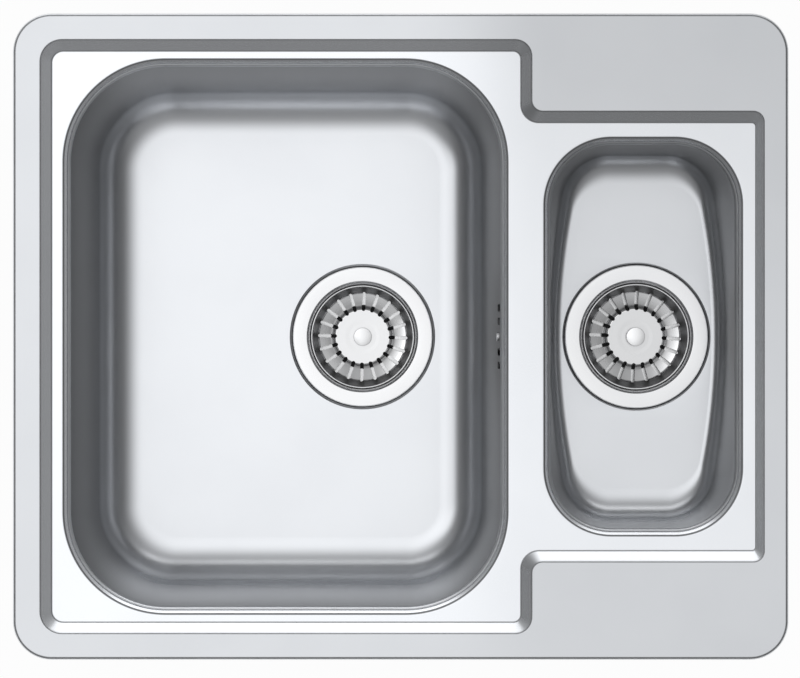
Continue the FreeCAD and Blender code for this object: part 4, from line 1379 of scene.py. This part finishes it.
@dataclass
class OutletThread:
    """Thread on a waste body's outlet, as a sleeve half sunk in the pipe's wall."""

    name: str
    x: float
    low: float
    thread: Thread = Thread(23.6, 24.4, 3.2, 1.5, 24.0, 96, 10)
    inner_r: float = 22.0

    def pieces(self) -> list[Piece]:
        """The sleeve, closed inside the wall.

        Returns:
            The finished pieces.
        """
        rows = self.thread.rows(self.x, 0.0) + np.array([0.0, 0.0, self.low])
        ends = [circle(self.x, 0.0, row[0, 2], self.inner_r, rows.shape[1])[None]
                for row in (rows[0], rows[-1])]
        shape = grid(np.concatenate([ends[0], rows, ends[1], ends[0]]))
        return [Piece(self.name + "_outlet_thread", shape, Slot.MOULDED_PLASTIC)]


@dataclass
class ClipScrew:
    """A clip's screw: a hexagon head with a chamfer, and a threaded shaft."""

    number: int
    x: float
    y: float
    first_corner: float              # angle of the head's first corner
    thread: Thread = Thread(1.95, 2.45, 0.8, -50.6, -21.0)
    head: Pair = (-53.8, -50.3)
    flats: float = 8.0
    chamfer: float = 0.5
    rounds: Triple = (2.2, 0.2, 0.2)  # of the outline, from below

    def _head(self) -> Surface:
        """Hexagon whose lower corners are cut by a cone.

        Returns:
            The closed head.
        """
        low, high = self.head
        angle = self.first_corner + np.arange(6) * FULL_TURN / 6
        corners = np.stack([np.cos(angle), np.sin(angle)], -1) * self.flats / math.sqrt(3)
        inset = np.array([self.chamfer, 0.0, 0.0])
        shrunk = corners * (1 - inset / self.flats * 2)[:, None, None]
        radii = np.array(self.rounds)[:, None] * np.ones(6)
        rows = rounded_loops(shrunk + np.array([self.x, self.y]), radii,
                             np.array([low, low + self.chamfer, high]), 6)
        return joined([grid(rows), flat([rows[0]]), flat([rows[-1]])])

    def pieces(self) -> list[Piece]:
        """Head and shaft.

        Returns:
            The finished pieces.
        """
        rows = self.thread.rows(self.x, self.y)
        shaft = joined([grid(rows), flat([rows[0]]), flat([rows[-1]])])
        node = f"clip_{self.number}_screw"
        return [Piece(f"clip_{self.number}_threaded_screw", joined([self._head(), shaft]),
                      Slot.ZINC_PLATE, node, (node,))]


# Studio


@dataclass
class Studio:
    """Camera, world light and floor."""

    camera_height: float = 2856.0
    camera_place: Pair = (-0.54, -1.86)
    lens: float = 165.9
    sensor: float = 36.0
    sight: float = 50.0            # metres
    core_axis: Triple = (-0.05, 0.19, 0.98)
    core: Pair = (14.0, 60.0)      # degrees from the axis: full, and gone
    core_level: float = 1.285
    core_fall: float = 0.9         # how fast the core dims to the right
    rear_squeeze: float = 0.3      # how much sooner it ends towards the rear
    left_squeeze: float = 0.25     # and towards the left
    left_from: Pair = (-0.2, -0.9)
    ends_from: Pair = (0.1, 0.95)  # how near to due front or rear
    side_level: float = 0.11       # of the grey room, outside the core
    front_level: float = 0.34
    rear_level: float = 0.36
    low_side_level: float = 0.33  # and low down, from the low tilts on
    low_side_lean: float = 0.15   # how much more of it comes from the right
    low_front_level: float = 0.21
    low_rear_level: float = 0.56
    low_tilt: Pair = (60.0, 70.0)
    window_level: float = 1.15       # low strip of light behind the rear
    window_tilt: Four = (61.0, 65.0, 92.0, 100.0)
    window_side: Pair = (0.78, 0.9)  # how near to due rear: gone, and full
    patch_level: float = 0.65        # small bright lamp at the left
    patch_tilt: Four = (28.0, 31.0, 42.0, 44.0)
    patch_left: Pair = (-0.7, -0.8)
    patch_rear: Pair = (-0.42, -0.3)
    soft_level: float = 1.0  # what matt surfaces see
    floor_size: float = 9000.0
    floor_glow: float = 0.93
    floor_colour: Four = (0.86, 0.865, 0.87, 1.0)
    light_colour: Four = (0.985, 0.993, 1.0, 1.0)

    def camera(self) -> None:
        """Camera straight above, with the photograph's frame."""
        data = bpy.data.cameras.new("camera")
        data.lens = self.lens
        data.sensor_width = self.sensor
        data.clip_end = self.sight
        made = bpy.data.objects.new("camera", data)
        made.location = (self.camera_place[0] * MM, self.camera_place[1] * MM,
                         self.camera_height * MM)
        bpy.context.scene.collection.objects.link(made)
        bpy.context.scene.camera = made

    def _room(self, recipe: Recipe) -> Value:
        """Brightness that metal sees in each direction.

        Round an axis near the zenith lies a bright core, a little dimmer to the right, which
        fades over many degrees and sooner to the rear. Outside it the room is grey by how much
        a direction points to the front or rear, and dark at the sides, with other greys low
        down. A low window lies to the rear, and a small lamp at the left lights part of a
        polished cone.

        Args:
            recipe: the world's tree.

        Returns:
            The brightness.
        """
        place = recipe.node("ShaderNodeTexCoord").outputs["Generated"]
        split = recipe.node("ShaderNodeSeparateXYZ", None, {0: place})
        x, y, z = (recipe.value(split, n) for n in range(3))
        degrees = 180 / math.pi
        tilt = z.arccos() * degrees
        along, up, above = self.core_axis
        across = (x * x + y * y + TINY) ** 0.5
        to_rear, to_right = y / across, x / across
        near, due = self.ends_from
        rear, front = to_rear.step(near, due), to_rear.step(-near, -due)
        from_axis = (x * along + y * up + z * above).arccos() * degrees
        squeeze = (1 + rear * self.rear_squeeze
                   + to_right.step(*self.left_from) * self.left_squeeze)
        share = (from_axis * squeeze).step(self.core[1], self.core[0])
        low = tilt.step(*self.low_tilt)
        side, to_front, to_back = (
            high + low * (down - high)
            for high, down in ((self.side_level,
                                self.low_side_level * (1 + to_right * self.low_side_lean)),
                               (self.front_level, self.low_front_level),
                               (self.rear_level, self.low_rear_level)))
        grey = side + rear * (to_back - side) + front * (to_front - side)
        window = tilt.band(self.window_tilt) * to_rear.step(*self.window_side) * self.window_level
        patch = (tilt.band(self.patch_tilt) * to_right.step(*self.patch_left)
                 * to_rear.step(*self.patch_rear) * self.patch_level)
        return grey + share * (self.core_level - x * self.core_fall - grey) + patch + window

    def world(self) -> None:
        """White for the camera, the room for metal, and an even soft light for the rest."""
        world = bpy.data.worlds.new("studio")
        world.use_nodes = True
        bpy.context.scene.world = world
        recipe = Recipe(world.node_tree)
        path = recipe.node("ShaderNodeLightPath")
        camera, glossy = recipe.value(path, "Is Camera Ray"), recipe.value(path, "Is Glossy Ray")
        level = glossy * self._room(recipe) + (1 - glossy) * self.soft_level
        level = camera + (1 - camera) * level
        light = recipe.node("ShaderNodeBackground", None,
                            {"Color": self.light_colour, "Strength": level})
        recipe.node("ShaderNodeOutputWorld", None, {"Surface": light.outputs[0]})

    def floor(self, z: float) -> None:
        """Pale floor that shows white, and keeps a faint shadow.

        Args:
            z: its level in metres.
        """
        half = self.floor_size / 2 * MM
        mesh = bpy.data.meshes.new("floor")
        mesh.from_pydata([(-half, -half, z), (half, -half, z), (half, half, z), (-half, half, z)],
                         [], [(0, 1, 2, 3)])
        made = bpy.data.objects.new("floor", mesh)
        bpy.context.scene.collection.objects.link(made)
        material, recipe = new_material("floor")
        path = recipe.node("ShaderNodeLightPath")
        seen = (recipe.value(path, "Is Camera Ray") + recipe.value(path, "Is Glossy Ray")
                + recipe.value(path, "Is Transmission Ray"))
        matt = recipe.node("ShaderNodeBsdfDiffuse", None, {"Color": self.floor_colour})
        glow = recipe.node("ShaderNodeEmission", None, {"Color": (1.0, 1.0, 1.0, 1.0)})
        mix = recipe.node("ShaderNodeMixShader", None, {
            0: seen * self.floor_glow, 1: matt.outputs[0], 2: glow.outputs[0]})
        recipe.node("ShaderNodeOutputMaterial", None, {"Surface": mix.outputs[0]})
        mesh.materials.append(material)
        made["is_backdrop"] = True

    def build(self, floor_z: float) -> None:
        """Sets up everything round the object.

        Args:
            floor_z: the floor's level in metres.
        """
        bpy.context.scene.view_settings.view_transform = "Standard"
        self.camera()
        self.world()
        self.floor(floor_z)


def dress_nodes(paints: Paints) -> None:
    """Gives every carried-over solid its slot's material.

    Args:
        paints: the materials.
    """
    for part in frame["record"]["subparts"]:
        node = frame["nodes"][part["node"]]
        slot = Slot(part["material_slot"])
        node.data.materials.clear()
        node.data.materials.append(paints.of(slot))
        log.info("%s: %s", node.name, slot.value)


def main() -> None:
    """Builds the studio and every piece."""
    logging.basicConfig(level=logging.INFO, format="%(name)s %(message)s")
    cad_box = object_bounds()
    paints = Paints()
    Studio().build(cad_box[0].z)
    dress_nodes(paints)
    makers = [Deck(), MainBowl(), SmallBowl(),
              OutletThread("main", PLAN.main_waste_x, PLAN.main_outlet_z),
              OutletThread("small", PLAN.small_waste_x, PLAN.small_outlet_z)]
    sides, ends = (*PLAN.side_clip, 0.0), (*PLAN.end_clip, QUARTER_TURN)
    for number, ((x, y, turn), left, front) in enumerate((
            (sides, -1, -1), (sides, 1, -1), (ends, -1, -1), (ends, -1, 1),
            (sides, -1, 1), (sides, 1, 1), (ends, 1, -1), (ends, 1, 1)), 1):
        makers.append(ClipScrew(number, x * left, y * front, turn))
    for name, x, z, shade, degrees in (
            ("main", PLAN.main_waste_x, PLAN.main_floor_z, 0.09, -1.6),
            ("small", PLAN.small_waste_x, PLAN.small_floor_z, 0.15, -2.8)):
        makers += [WasteFlange(name, x, z, shade),
                   Strainer(name, x, z, shade, turn=math.radians(degrees))]
    for maker in makers:
        for piece in maker.pieces():
            piece.build(paints)


if __name__ == "__main__":
    main()
